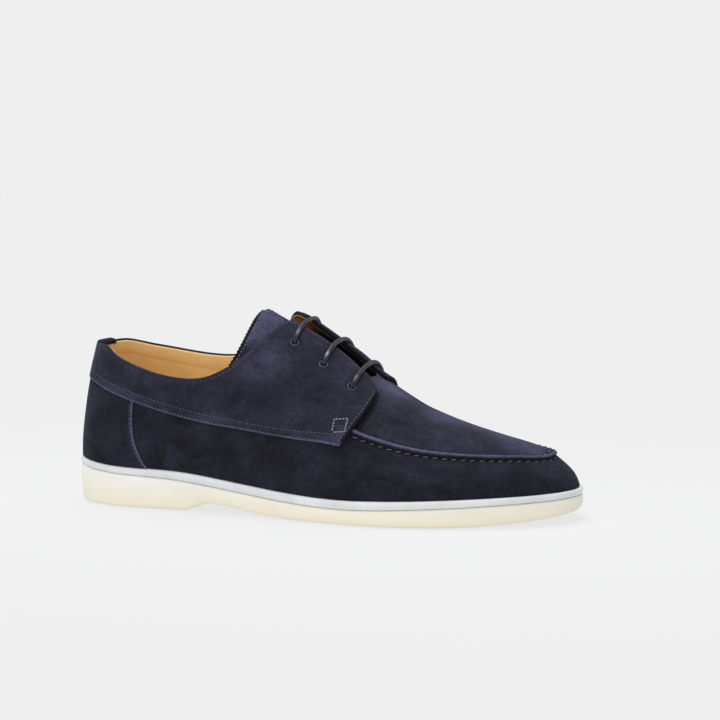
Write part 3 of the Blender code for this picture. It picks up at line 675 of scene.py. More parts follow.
def rounding(distance, radius, power=3.0):
    """Share of its full thickness that a sheet has at a distance from a cut edge."""
    inside = np.clip(1 - distance / radius, 0, 1)
    return (1 - inside ** power) ** (1 / power)


def soft_fold(points, start, end, width, depth):
    """Depth of a soft trough between two points, fading at its ends, at every point."""
    start, end = np.array(start, float), np.array(end, float)
    run = end - start
    share = np.clip(((points - start) @ run) / (run @ run), 0, 1)
    away = norm(points - start - share[..., None] * run)
    return depth * bell(away, width) * np.sqrt(np.sin(pi * np.clip(share, 0.04, 0.96)))


# soft troughs, and ridges with a depth below zero: start, end, width, depth
VAMP_FOLDS = (((188, -30, 58), (196, 14, 68), 5, 0.35),
              ((201, -28, 52), (207, 26, 60), 6, 0.45),
              ((216, -34, 40), (222, -10, 55), 6, 0.25),
              ((150, -44, 24), (196, -49, 30), 5, 0.3),
              ((196, -48, 38), (232, -42, 33), 6, 0.35),
              ((96, -36, 40), (140, -41, 28), 7, 0.35),
              ((120, 36, 40), (160, 44, 30), 7, 0.35),
              ((200, 46, 36), (236, 41, 30), 6, 0.3),
              ((176, -47, 40), (190, -50, 22), 5, -0.3))

# (middle, size, how much lighter): soft patches of nap, painted light on the apron's top and the
# # toe, and three painted shadows just ahead of the outer quarter's front edge
VAMP_NAP_AND_LIGHT = (((191, 4, 70), 11, 0.65), ((204, -4, 61), 9, -0.1), ((222, 3, 54), 11, 0.42),
            ((208, -20, 54), 14, -0.2), ((236, -6, 48), 13, -0.22), ((275, 0, 39), 12, 0.42),
            ((182, -40, 53), 4, -0.35), ((184, -35, 58), 4, -0.35), ((186, -28, 63), 4, -0.35),
            ((262, -22, 36), 9, 0.12), ((291, -4, 28), 8, 0.15), ((250, 10, 44), 14, 0.2),
            ((70, -35, 36), 16, 0.05), ((150, -45, 36), 18, 0.05))

last_face, seam_away, _ = both_sides(
    np.concatenate((np.arange(34, 177, 2.4), np.arange(178, 262.1, 1.05))), (4.0, 2.2),
    lambda x: COLLAR_FOLD * (1 - ease(x, 166, 176)), THROAT_HALF,
    ((0, 0.15, 0.5, 1.2), (0, 0.7, 1.3, 1.8, 2.3, 2.8, 3.3, 3.9, 4.7, 5.8, 7.2), 13),
    ((0.8, 1.5, 2.1, 2.6, 3.1, 3.7, 4.6, 6.0), (0, 0.15, 0.5, 1.2), 18))
last_normals = last_normal(last_face)
seam_row = int(np.argmin(np.abs(seam_away[:, 0])))
seam_line = last_face[seam_row]
seam_along = travelled(seam_line)
seam_along = seam_along - seam_along[int(np.argmax(seam_line[:, 0]))]
sewn = ease(seam_line[:, 0], SEAM_START - 2, SEAM_START + 2)
pull = np.cos(2 * pi * seam_along / SEAM_PITCH)
pucker = -0.5 * bell(seam_away + 1.9, 0.8)
pucker = pucker - 0.45 * (0.5 + 0.5 * pull) * bell(seam_away + 3.0, 1.2)
pucker = pucker - 0.3 * bell(seam_away - 2.4, 0.8)
pucker = pucker - 0.15 * pull * bell(seam_away - 3.0, 1.6)
folds = sum(soft_fold(last_face, *fold) for fold in VAMP_FOLDS)
full = rounding(np.minimum(*from_edges(last_face)[:2]), 0.5)
surface = sewn * pucker - folds
# painted light: the apron above the seam is painted lighter than the wall below, as it faces the
# light, and painted shade darkens the wall just under the ridge
nap = nap_and_light_patches(last_face, 0.1 + 0.22 * ease(seam_away, 0.5, 4.0) * sewn, VAMP_NAP_AND_LIGHT)
nap = nap - 0.25 * sewn * bell(seam_away + 2.2, 1.2)
upper = panel("suede_upper", last_face, last_normals, surface - SUEDE / 2 * (1 - full),
              surface - SUEDE / 2 * (1 + full), nap=nap)
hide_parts("upper")
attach(upper, "root")

# Calf suede with a short raised nap. Its nap mark makes it lighter or darker: soft patches where
# the nap was stroked, and painted light and shade, lighter on tops that face the light and
# darker on walls and in shaded places; fibres of about 0.4 mm break up the colour; raw cut
# edges show paler fuzz; and the nap glows a little at grazing angles.
suede, tree, where = begin_material("napped_calf_suede")
along = node(tree, "Mapping", {"Vector": where, "Scale": (0.7, 1.0, 1.1)})
stroked = node(tree, "TexNoise", {"Vector": along, "Scale": 62.0, "Detail": 5.0,
                                  "Roughness": 0.6, "Distortion": 0.5})
uneven = node(tree, "MapRange", {"Value": stroked, "From Min": 0.3, "From Max": 0.7,
                                 "To Min": -0.2, "To Max": 0.2})
nap = node(tree, "Attribute", attribute_name="nap").outputs["Fac"]
level = node(tree, "Math", {0: nap, 1: uneven}, operation="ADD")
tone = node(tree, "ValToRGB", {"Fac": level},
            stops=((0.0, "#1a1a20"), (0.35, "#2b2b38"), (1.0, "#4c4c66")))
fibres = node(tree, "TexNoise", {"Vector": where, "Scale": 1900.0, "Detail": 3.0,
                                 "Roughness": 0.7})
tufts = node(tree, "TexNoise", {"Vector": where, "Scale": 420.0, "Detail": 2.0})
speck = node(tree, "MapRange", {"Value": fibres, "From Min": 0.3, "From Max": 0.7,
                                "To Min": 0.66, "To Max": 1.34})
tuft = node(tree, "MapRange", {"Value": tufts, "From Min": 0.3, "From Max": 0.7,
                               "To Min": 0.82, "To Max": 1.18})
shade = node(tree, "Math", {0: speck, 1: tuft}, operation="MULTIPLY")
cut = node(tree, "Attribute", attribute_name="cut_edge").outputs["Fac"]
frayed = node(tree, "Math", {0: cut, 1: fibres}, operation="MULTIPLY")
coat = node(tree, "Mix", {"Factor": frayed, "A": tone, "B": linear("#76769a")},
            data_type="RGBA")
colour = node(tree, "VectorMath", {0: coat, "Scale": shade}, operation="SCALE")
pile = node(tree, "Bump", {"Height": fibres, "Distance": 0.00025, "Strength": 0.7})
relief = node(tree, "Bump", {"Height": tufts, "Distance": 0.0004, "Strength": 0.35,
                             "Normal": pile})
hide = node(tree, "BsdfPrincipled", {
    "Base Color": colour, "Roughness": 0.95, "IOR": 1.35, "Specular IOR Level": 0.15,
    "Sheen Weight": 0.12, "Sheen Roughness": 0.4, "Sheen Tint": linear("#a9aace"),
    "Normal": relief})
node(tree, "OutputMaterial", {"Surface": hide})
upper.data.materials.append(suede)


# ---------------------------------------------------------------- raised seam
# Where apron and wall are pinched together and sewn by hand: a rounded ridge with a
# straight outer flank. Waxed thread shows as a dash below it and another inside it.

# across the ridge, outward from the seam, and up from the last; how light it is painted: light
# # on its top, as it faces the light, and dark on its flanks, in their shade
RIDGE = ((1.15, -0.3, 0), (1.35, 0.2, 0), (1.42, 0.8, 0.05), (1.36, 1.35, 0.15),
         (1.15, 1.8, 0.45), (0.75, 2.08, 0.8), (0.2, 2.15, 0.9), (-0.35, 2.02, 0.85),
         (-0.8, 1.65, 0.6), (-1.15, 1.1, 0.35), (-1.5, 0.5, 0.25), (-1.9, 0.02, 0.25),
         (-1.9, -0.4, 0))

on_ridge = np.flatnonzero(seam_line[:, 0] > SEAM_START - 2.2)
ridge_line, ridge_up = seam_line[on_ridge], last_normals[seam_row][on_ridge]
ridge_along = seam_along[on_ridge]
ridge_ahead = unit(np.gradient(ridge_line, axis=0))
ridge_out = unit(np.cross(ridge_ahead, ridge_up))
full = np.minimum(ease(ridge_along, ridge_along[0] - 0.6, ridge_along[0] + 0.9),
                  1 - ease(ridge_along, ridge_along[-1] - 0.9, ridge_along[-1] + 0.6))
# it flattens a little at the toe's tip, and its puckers deepen on the way there
full = full * (1 - 0.2 * bell(ridge_along, 14))
pinched = 0.1 + 0.12 * ease(ridge_along, -25, 5)
waist = 1 - pinched * (0.5 + 0.5 * np.cos(2 * pi * ridge_along / SEAM_PITCH))
loop, light = [], []
for out, up, nap in RIDGE + RIDGE[:1]:
    rise = np.where(up > 0, up * full * waist, up)
    loop.append(ridge_line + ridge_out * (out * waist)[:, None] + ridge_up * rise[:, None])
    light.append(nap + 0 * waist)
loop, light = np.array(loop), np.array(light)
ends = loop.mean(axis=0)
loop[:, 0], loop[:, -1] = ends[0], ends[-1]
ridge = lay_grid("raised_seam", loop, nap=light, cut_edge=0.25 * light)
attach(ridge, "root")
ridge.data.materials.append(suede)


# Bonded polyester thread, lightly waxed: slate blue, a shade paler than the suede, or for
# the hand stitches and bar tacks a pale grey.
def thread(name, dark, light):
    """A thread of one colour, streaked by its twist."""
    made, tree, where = begin_material(name)
    twist = node(tree, "TexNoise", {"Vector": where, "Scale": 3000.0, "Detail": 2.0})
    tint = node(tree, "ValToRGB", {"Fac": twist}, stops=((0.35, dark), (0.65, light)))
    yarn = node(tree, "BsdfPrincipled", {"Base Color": tint, "Roughness": 0.55})
    node(tree, "OutputMaterial", {"Surface": yarn})
    return made


navy_thread = thread("navy_polyester_thread", "#1c1c24", "#2c2c37")
slate_thread = thread("slate_polyester_thread", "#34344a", "#585870")
pale_thread = thread("pale_waxed_thread", "#62626c", "#93939c")
grey_thread = thread("grey_waxed_thread", "#45454f", "#70707a")


def spots_on(path, along, spots):
    """Points part of the way along a path."""
    return np.stack([np.interp(spots, along, values) for values in np.transpose(path)], -1)


def choose(made):
    """Makes one object the only selected and the active one."""
    bpy.ops.object.select_all(action="DESELECT")
    bpy.context.view_layer.objects.active = made
    made.select_set(True)


def sew(name, path, up, length, gap, width, look, slant=0.0):
    """A row of stitches along a path: one bead, copied and joined at every step."""
    along = travelled(path)
    spots = np.arange(length, along[-1] - length / 2, length + gap)
    rise = unit(spots_on(up, along, spots))
    ahead = unit(spots_on(path, along, spots + length / 2)
                 - spots_on(path, along, spots - length / 2))
    ahead = ahead * cos(slant) + unit(np.cross(rise, ahead)) * sin(slant)
    aside = unit(np.cross(rise, ahead))
    bpy.ops.mesh.primitive_uv_sphere_add(segments=8, ring_count=6, radius=1)
    bead = bpy.context.object.data
    shape = np.array([vertex.co for vertex in bead.vertices])[:, [2, 0, 1]]
    shape[:, 0] = np.sign(shape[:, 0]) * np.abs(shape[:, 0]) ** 0.6
    faces = [list(face.vertices) for face in bead.polygons]
    bpy.data.objects.remove(bpy.context.object)
    shape = shape * (length / 2, width / 2, width / 2)
    places = (spots_on(path, along, spots)[:, None] + ahead[:, None] * shape[:, :1]
              + aside[:, None] * shape[:, 1:2]
              + rise[:, None] * (shape[:, 2:] + width * 0.12)).reshape(-1, 3)
    mesh = bpy.data.meshes.new(name)
    count = len(shape)
    mesh.from_pydata(((places - MIDDLE) * 0.001).tolist(), [],
                     [[i * count + v for v in face] for i in range(len(spots)) for face in faces])
    made = bpy.data.objects.new(name, mesh)
    bpy.context.collection.objects.link(made)
    made.data.materials.append(look)
    choose(made)
    bpy.ops.object.shade_smooth()
    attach(made, "root")
    return made


# the row inside the ridge sinks into the nap on the outer side and shows round the toe
for label, away, length, width, start in (("below", -3.0, 3.0, 0.55, ridge_along[0]),
                                          ("inside", 2.3, 2.4, 0.65, -24.0)):
    row = int(np.argmin(np.abs(seam_away[:, 0] - away)))
    shown = on_ridge[ridge_along >= start]
    path = (last_face[row] + last_normals[row] * surface[row][:, None])[shown]
    sew("seam_stitches_" + label, path, last_normals[row][shown], length,
        SEAM_PITCH - length, width, grey_thread, slant=0.3)


# ---------------------------------------------------------------- lining
# Tan leather bonded to the inside of the whole upper. It stops just below the folded edge
# of the collar, over a thin foam roll that is sewn in 7 mm down.

LINING_TOP = 0.5
LINING_DEPTH = SUEDE + 0.45      # from the suede's face to the lining's middle
LINING_HALF = 0.4
ROLL_SEAM = 7.5
ROLL_SWELL = 0.55


def lining_dye(points):
    """How dark painted shade makes the lining at each point: it is tan but high under the
    facings.
    """
    x = points[..., 0]
    return ease(x, 112, 152) * ease(points[..., 2] / crest(x), 0.55, 0.72)


lining_face, _, down = both_sides(
    np.concatenate((np.arange(34, 177, 3.0), np.arange(178, 262.1, 3.0))), (5.0, 4.4),
    lambda x: LINING_TOP, THROAT_HALF + 1,
    ((0, 0.4), (0,), 9),
    ((3.0,), (0, 0.15, 0.4, 0.9, 1.8, 2.9, 4.0, 5.0, 5.7, 6.1, 6.5, 7.0, 8.0), 8))
rear = 1 - ease(lining_face[-1, :, 0], 96, 116)     # the roll ends ahead of the collar
down_roll = np.clip(down / (ROLL_SEAM - LINING_TOP), 0, 1)
roll = rear * ROLL_SWELL * np.sin(pi * down_roll) ** 0.7
seam_dip = rear * 0.2 * bell(down - (ROLL_SEAM - LINING_TOP), 0.5)
full = rounding(np.minimum(down, from_edges(lining_face)[0]), 0.4)
inner = -LINING_DEPTH - LINING_HALF * full - roll * full + seam_dip
lining = panel("leather_lining", lining_face, last_normal(lining_face),
               LINING_HALF * full - LINING_DEPTH, inner, dye=lining_dye(lining_face))
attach(lining, "root")
lining.data.materials.append(tan_leather)


# ---------------------------------------------------------------- counter
# A suede heel piece glued and sewn over the wall, its front edge cut in a hollow curve and
# its top edge butted to the quarters.

COUNTER_OUT = 1.15
CLEAR = 0.08                     # left between one layer of suede and the next
COUNTER_ROW = 1.6                # stitches, in from the front edge
COUNTER_BOW = -4.0
COUNTER_FRONT = (46.6, 55.2)     # x at the top and the bottom of its front edge
COUNTER_NAP_AND_LIGHT = (((14, -22, 60), 12, 0.08), ((34, -30, 40), 12, 0.02), ((6, -8, 40), 10, 0.08))


def counter_side(side):
    """One side of the counter's face, from the back to its front edge."""
    turns = np.arange(0, 89, 3.5)
    heel, heel_way = stand(side, turns, [])
    share = np.concatenate((np.linspace(0, 0.9, 8), (0.95, 0.98, 0.995, 1.0)))
    top_x = HEEL_CENTRE_X + (COUNTER_FRONT[0] - HEEL_CENTRE_X) * share
    low_x = HEEL_CENTRE_X + (COUNTER_FRONT[1] - HEEL_CENTRE_X) * share
    top_foot, top_way = stand(side, [], top_x)
    low_foot, low_way = stand(side, [], low_x)
    foot = np.concatenate((heel, (top_foot + low_foot) / 2))
    low = np.concatenate((above_band(heel, heel_way, 0.5), above_band(low_foot, low_way, 0.5)))
    along = HEEL_CENTRE_X + heel_way[:, 0] * ALONG_REACH
    high = np.concatenate((at_height(heel, heel_way, quarter_low(along) - 0.35),
                           at_height(top_foot, top_way, quarter_low(top_x) - 0.35)))
    span = norm(high - low)
    shares = graded(span, (0, 0.15, 0.4, 0.9), (0, 0.15, 0.4, 0.9), 20)
    bow = np.concatenate((np.zeros(len(turns)), COUNTER_BOW * share ** 2))
    return sweep(foot, low, high, shares, bow)


outer_rows, inner_rows = counter_side(-1), counter_side(1)
counter_face = np.concatenate((inner_rows[:, ::-1], outer_rows[:, 1:]), axis=1)
to_ends = np.minimum(*from_edges(counter_face)[2:])
full = rounding(np.min(from_edges(counter_face), axis=0), 0.4)
middle, half = (COUNTER_OUT + CLEAR) / 2, (COUNTER_OUT - CLEAR) / 2
stitched = 0.15 * bell(to_ends - COUNTER_ROW, 0.5)
counter_normals = last_normal(counter_face)
# its nap mark: soft patches, and a painted highlight along its front edges, where they catch the
# light
counter = panel("suede_counter", counter_face, counter_normals, middle + half * full - stitched,
                middle - half * full, cut_edge=bell(to_ends, 0.7),
                nap=nap_and_light_patches(counter_face, 0.1, COUNTER_NAP_AND_LIGHT) + 0.25 * bell(to_ends, 1.2))
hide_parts("counter")
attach(counter, "root")
counter.data.materials.append(suede)
for label, columns in (("outer", slice(-9, None)), ("inner", slice(8, None, -1))):
    row = np.array([spots_on(line[::-1], gaps[::-1], COUNTER_ROW) for line, gaps in
                    zip(counter_face[3:-3, columns], to_ends[3:-3, columns])])
    row_up = last_normal(row)
    sew("counter_stitches_" + label, row + row_up * (COUNTER_OUT - 0.12), row_up, 1.6, 0.9, 0.4,
        slate_thread)


# ---------------------------------------------------------------- quarters
# The two sides that close over the instep, in the same suede: folded over and sewn along
# collar and facing, cut raw along the lower and front edges with two rows of stitches.

QUARTER_OUT = 2.0
EDGE_ROW, SECOND_ROW, FRONT_ROW, TOP_ROW = 1.3, 6.0, 2.1, 2.0   # stitches, in from the edges
STITCH, STITCH_GAP, STITCH_WIDE = 1.5, 0.9, 0.42
GROOVE, GROOVE_HALF = 0.2, 0.4   # what the stitches pull in: its depth and half width
FRONT_GAPE = 1.7                 # how far the middle of the front edge stands off the vamp
INNER_GAPE = 0.4                 # the inner side's share of that
TACK_X, TACK_LOW, TACK_WIDE, TACK_HIGH = 171.4, 49.5, 6.8, 6.6
# share of the front part; x and height at the low edge; x and half width at the top edge;
# forward bow
FRONT = ((0, 164, 44.5, 164, 8, 0), (0.35, 168.6, 43.9, 170.5, 8, 0.6),
         (0.7, 173, 43.2, 176.8, 8.3, 2.2), (0.88, 175.3, 42.8, 181.2, 10.4, 3.6),
         (1, 176.6, 42.7, 186.2, 16, 4.4))
FACING_FRONT = 7.6               # most of the inner facing's half width at its front end
INNER_BACK = 2.2                 # how far its corner lies behind the outer one's
INNER_BOW = 0.6                  # the inner side's share of the forward bow
# soft troughs, and ridges with a depth below zero: start, end, width, depth
QUARTER_FOLDS = (((104, -30, 74), (124, -36, 52), 6, 0.5),
                 ((118, -28, 84), (138, -36, 62), 6, -0.4),
                 ((84, -32, 68), (96, -34, 56), 7, 0.3),
                 ((146, -30, 80), (160, -40, 58), 7, 0.35),
                 ((160, -26, 78), (174, -38, 60), 5, 0.3),
                 ((50, -30, 74), (72, -33, 66), 6, 0.25),
                 ((106, 30, 76), (128, 36, 54), 7, 0.4),
                 ((150, 30, 80), (164, 38, 58), 7, 0.3))
# rows of the mesh at set distances from the low edge and from the top edge
LOW_ROWS = (0, 0.12, 0.3, 0.6, 0.95, 1.3, 1.65, 2.1, 2.8, 3.8, 4.9, 5.6, 6.0, 6.4, 7.1)
TOP_ROWS = (0, 0.12, 0.4, 0.8, 1.2, 1.6, 2.0, 2.4, 3.0, 3.4, 4.6)
# (middle, size, how much lighter): soft patches of nap, partly painted light where the quarter
# # faces the light
QUARTER_NAP_AND_LIGHT = (((126, -22, 84), 13, 0.32), ((36, -32, 74), 14, 0.12),
               ((124, -35, 64), 13, -0.1), ((96, -34, 56), 14, 0.12),
               ((150, -30, 74), 18, -0.05), ((60, -34, 60), 12, 0.08),
               ((177, -42, 48), 6, 0.4), ((14, -20, 84), 12, 0.08),
               ((150, 30, 70), 20, 0.1))


def mesh_points(made):
    """A mesh's vertices in millimetres."""
    return np.array([vertex.co for vertex in made.data.vertices]) * 1000 + MIDDLE


def quarter_face(side):
    """A quarter's face on the last: rows from low edge to top, columns from the back."""
    turns = np.concatenate(((0.35, 0.6, 1.1, 2.0), np.arange(4, 89, 4.0)))
    sections = np.arange(34, 163.5, 2.0)
    foot, way = stand(side, turns, sections)
    low = at_height(foot, way, quarter_low(foot[:, 0] + way[:, 0] * ALONG_REACH))
    high = collar_edge(side, foot, way)
    share = np.concatenate((np.linspace(0, 0.93, 15), (0.955, 0.975, 0.99, 1.0)))
    low_x, low_z, high_x, high_half, bow = [smooth(FRONT, i)(share) for i in range(1, 6)]
    if side > 0:
        high_half = np.minimum(high_half, FACING_FRONT)
        high_x = high_x - INNER_BACK * ease(share, 0.7, 1)
        bow = bow * INNER_BOW
    front_foot, front_way = stand(side, [], low_x)
    foot = np.concatenate((foot, (front_foot + stand(side, [], high_x)[0]) / 2))
    low = np.concatenate((low, at_height(front_foot, front_way, low_z)))
    high = np.concatenate((high, last_top(high_x, THROAT_Y + side * high_half)))
    bow = np.concatenate((np.zeros(len(foot) - len(share)), bow))
    span = norm(high - low)
    shares = graded(span, LOW_ROWS, TOP_ROWS, 16)
    return sweep(foot, low, high, shares, bow), shares * span, (1 - shares) * span


quarters = {}
for side, label in ((-1, "outer"), (1, "inner")):
    face, from_low, from_top = quarter_face(side)
    normals = last_normal(face)
    from_back, from_front = from_edges(face)[2:]
    folded = 1 - ease(face[-1, :, 0], 172, 180)
    top_full = rounding(from_top, 0.5 + 1.0 * folded, 2.2)
    full = np.min([rounding(from_low, 0.5), rounding(from_front, 0.5), top_full,
                   rounding(from_back, 0.5)], axis=0)
    inner = CLEAR - (SUEDE + CLEAR) * folded * (1 - ease(from_top, 3.0, 3.4))
    outer = QUARTER_OUT - 0.4 * folded * (1 - ease(from_top, 0.5, 4.0))
    middle, half = (outer + inner) / 2, (outer - inner) / 2
    sunk = sum(bell(from_low - row, GROOVE_HALF) for row in (EDGE_ROW, SECOND_ROW))
    sunk = GROOVE * np.max([sunk, bell(from_front - FRONT_ROW, GROOVE_HALF),
                            bell(from_top - TOP_ROW, GROOVE_HALF)], axis=0)
    swell = sum(soft_fold(face, *fold) for fold in QUARTER_FOLDS)
    stretch = np.minimum(ease(from_low, 2, 12), ease(from_top, 2, 10))
    gape = FRONT_GAPE * stretch * (1 - ease(from_front, 0, 9))
    gape = gape * (1 if side < 0 else INNER_GAPE)
    outer = middle + half * full - sunk * full - swell * np.minimum(full, ease(from_low, 0, 8))
    outer = outer + gape
    inside = middle - half * full + gape
    nap = nap_and_light_patches(face, 0.24, QUARTER_NAP_AND_LIGHT)
    # painted shade: a dark strip along the front edge, which stands off the vamp
    nap = nap - (nap + 0.3) * (1 - ease(from_front, 1.5, 2.0)) * ease(from_low, 1, 4)
    nap = nap + 0.2 * bell(from_low, 1.0) + 0.1 * (1 - ease(from_low, 5, 7.5))
    # the outer facing's edge catches the light, the inner facing turns away from it
    lit = 0.2 * (1 - ease(from_top, 0.6, 2.2))
    turned = -0.6 * (1 - ease(from_top, 4, 12))
    nap = nap + (lit if side < 0 else turned) * ease(face[..., 0], 100, 130)
    quarter = panel("suede_quarter_" + label, face, normals, outer, np.minimum(inside, outer),
                    nap=nap, cut_edge=0.8 * bell(from_low, 0.7) * ease(from_front, 0.5, 3.0))
    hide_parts("quarter_" + label)
    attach(quarter, "root")
    quarter.data.materials.append(suede)
    quarters[side] = quarter
    surface_points = face + normals * outer[..., None]
    instep = int(np.argmax(face[-1, :, 0] > 92))
    for row_label, distances, far, ends, look in (
            ("edge", from_low, EDGE_ROW, slice(4, -6), slate_thread),
            ("second", from_low, SECOND_ROW, slice(4, -6), slate_thread),
            ("collar", from_top, TOP_ROW, slice(4, instep + 1), navy_thread),
            ("facing", from_top, TOP_ROW, slice(instep, -6), slate_thread)):
        row = int(np.argmin(np.abs(distances[:, 40] - far)))
        sew(f"quarter_{label}_{row_label}_stitches", surface_points[row, ends],
            normals[row, ends], STITCH, STITCH_GAP, STITCH_WIDE, look)
    line = np.array([spots_on(points[:-16:-1], gaps[:-16:-1], FRONT_ROW) for points, gaps in
                     zip(surface_points[5:-6], from_front[5:-6])])
    sew(f"quarter_{label}_front_stitches", line, last_normal(line), STITCH, STITCH_GAP,
        STITCH_WIDE, grey_thread)
    # painted shadow: the vamp is darkened close ahead of the quarter's standing front edge
    seen = upper.data.attributes["nap"].data
    naps = np.array([mark.value for mark in seen])
    spots = mesh_points(upper)
    ahead = np.min([norm(spots - spot) for spot in face[4:-4, -1]], axis=0)
    seen.foreach_set("value", naps - (naps + 0.15) * (1 - ease(ahead, 2.2, 3.4)))
    # a box tack over the front lower corner takes the pull of the lacing
    corners = np.array((TACK_X, TACK_LOW)) + np.array(
        ((0, 0), (TACK_WIDE, 0), (TACK_WIDE, TACK_HIGH), (0, TACK_HIGH), (0, 0)))
    walk = spots_on(corners, np.arange(5), np.linspace(0, 4, 33))
    tack_foot, tack_way = stand(side, [], walk[:, 0])
    tack = at_height(tack_foot, tack_way, walk[:, 1])
    tack_up = last_normal(tack)
    nearest = [int(np.argmin(norm(face - spot))) for spot in tack]
    sew(f"bar_tack_{label}", tack + tack_up * (outer.flat[nearest][:, None] + 0.05), tack_up,
        STITCH, 0.35, 0.85, pale_thread)


# ---------------------------------------------------------------- heel tab
# A strip of the same suede, folded over the top of the heel and sewn down through both
# sides, to pull the shoe on by.

TAB_OUTSIDE, TAB_INSIDE = 5.0, 1.7
TAB_THICKNESS = 1.0
TAB_ENDS = (-24.0, 19.5)         # degrees round the heel, to the inner and the outer side

tab_out, tab_in = QUARTER_OUT - 0.25, -SUEDE - 1.35
arch = np.radians(np.linspace(0, 180, 19)[1:-1])
down = np.concatenate(([-TAB_OUTSIDE, -4.8, -4.3], np.linspace(-3.6, -0.5, 6)))
up = np.concatenate((np.linspace(-0.3, -0.9, 3), [-1.3, -1.55, -TAB_INSIDE]))
tab_middle, tab_radius = (tab_out + tab_in) / 2, (tab_out - tab_in) / 2
heights = np.concatenate((down, 0.28 * tab_radius * np.sin(arch), up))
offsets = np.concatenate((np.full(len(down), tab_out), tab_middle + tab_radius * np.cos(arch),
                          np.full(len(up), tab_in)))
near_ends = np.array((0, 0.2, 0.6, 1.2))
turns = np.radians(np.concatenate((TAB_ENDS[0] + near_ends,
                                   np.linspace(TAB_ENDS[0] + 2, TAB_ENDS[1] - 2, 23),
                                   TAB_ENDS[1] - near_ends[::-1])))
around = np.stack((-np.cos(turns), -np.sin(turns), 0 * turns), -1)
centre = np.array((HEEL_CENTRE_X, 0, 0)) + 0 * around
centre[:, 1] = sole_centre(HEEL_CENTRE_X)
edge = collar[-1](HEEL_CENTRE_X + around[:, 0] * ALONG_REACH)
base = at_height(np.broadcast_to(centre, (len(heights),) + centre.shape),
                 np.broadcast_to(around, (len(heights),) + around.shape),
                 edge + np.minimum(heights, 0)[:, None])
flat = last_normal(base)
flat[..., 2] = 0
tab_face = base + unit(flat) * offsets[:, None, None]
from_ends = np.minimum(turns - turns[0], turns[-1] - turns)
sink = 0.6 * (1 - ease(from_ends, 0, radians(4)))
tab_face[..., 2] += np.maximum(heights, 0)[:, None] + 0.1 - sink
tab_normals = unit(np.cross(np.gradient(tab_face, axis=1), np.gradient(tab_face, axis=0)))
if np.sum(tab_normals[0] * flat[0]) < 0:
    tab_normals = -tab_normals
to_edge = np.min(from_edges(tab_face), axis=0)
full = rounding(to_edge, 0.6, 2.0)
to_ends = np.minimum(*from_edges(tab_face)[2:])
thick = TAB_THICKNESS * (0.35 + 0.75 * ease(to_ends, 0, 3.0))
tab = panel("suede_heel_tab", tab_face, tab_normals, thick / 2 * (1 + full),
            thick / 2 * (1 - full), nap=0.1 + 0 * to_edge,
            cut_edge=0.15 * bell(to_edge, 0.6))
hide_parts("heel_tab")
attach(tab, "root")
tab.data.materials.append(suede)
for label, column in (("inner", 4), ("outer", -5)):
    lift = (thick * (1 + full) / 2)[1:7, column, None] - 0.1
    path = tab_face[1:7, column] + tab_normals[1:7, column] * lift
    sew("tab_stitches_" + label, path, tab_normals[1:7, column], 1.4, 0.8, 0.4, slate_thread)


# ---------------------------------------------------------------- tongue
# Suede outside and tan leather inside, cut as one with the apron and lying under the
# lacing. Its free edge is pinked, with a row of stitches along it.

TONGUE_THICKNESS = 2.4
TONGUE_LENGTH = 76.5
TONGUE_ROW = 2.2                 # stitches, in from the free end
TONGUE_END_X, TONGUE_ROOT_X = 113.8, 193.0
TONGUE_END_DROP, TONGUE_END_ROUND = 11.2, 1.6
TONGUE_CENTRE = 0.42
TONGUE_HALF = 54.0               # degrees
SINKS = ((100, 2.6), (117, 3), (124, 4.4), (132, 7), (178, 7), (187, 3), (194, 2.2))
PINKING = 2.4                    # from one scallop of the free edge to the next
# (middle, size, how much lighter): painted shade darkens the tongue deep in the gap under the
# lacing and at its outer lower corner; a patch near its top is painted lighter
TONGUE_NAP_AND_LIGHT = (((112, -21, 90), 7, -0.9), ((150, 4, 88), 30, -0.9), ((120, -4, 106), 9, 0.2))


def tongue_axis(x):
    """Points on the line that the tongue is bent round."""
    return np.stack((x, crest_y(x), feather(x) + TONGUE_CENTRE * (crest(x) - feather(x))), -1)


turns = TONGUE_HALF * np.concatenate(([-1, -0.995, -0.98], np.linspace(-0.96, 0.96, 121),
                                      [0.98, 0.995, 1]))
share = np.concatenate(([0, 0.15, 0.4, 0.8, 1.3, 1.9, 2.4, 2.9, 4.0], np.linspace(6, 74, 30),
                        [75.5, 76.2, TONGUE_LENGTH])) / TONGUE_LENGTH
from_end = share[:, None] * TONGUE_LENGTH
end = TONGUE_END_X - TONGUE_END_DROP * np.abs(turns / TONGUE_HALF) ** TONGUE_END_ROUND
x = end + (TONGUE_ROOT_X - end) * share[:, None]
way = np.stack(np.broadcast_arrays(0 * x, np.sin(np.radians(turns)),
                                   np.cos(np.radians(turns))), -1)
tongue_face = last_hit(tongue_axis(x), way)
tongue_normals = last_normal(tongue_face)
inward = way / np.maximum((way * tongue_normals).sum(-1), 0.6)[..., None]
around = travelled(tongue_face[0])
scallop = 0.8 * np.abs(np.sin(pi * around / PINKING)) - 0.4
near_end = np.clip(1 - from_end / 3.0, 0, 1)
beside = ease(np.abs(turns), 6, 16)
tongue_face[..., 0] -= scallop * near_end * (0.3 + 0.7 * beside)
pinked = 1 - (1 - ease(from_end, 1.5, 2.1)) * beside
depth = np.interp(tongue_face[..., 0], *zip(*SINKS))
to_edge = np.minimum(np.min(from_edges(tongue_face)[1:], axis=0), from_end)
full = rounding(to_edge, 0.5)
half = TONGUE_THICKNESS / 2
sunk = GROOVE * bell(from_end - TONGUE_ROW, GROOVE_HALF)
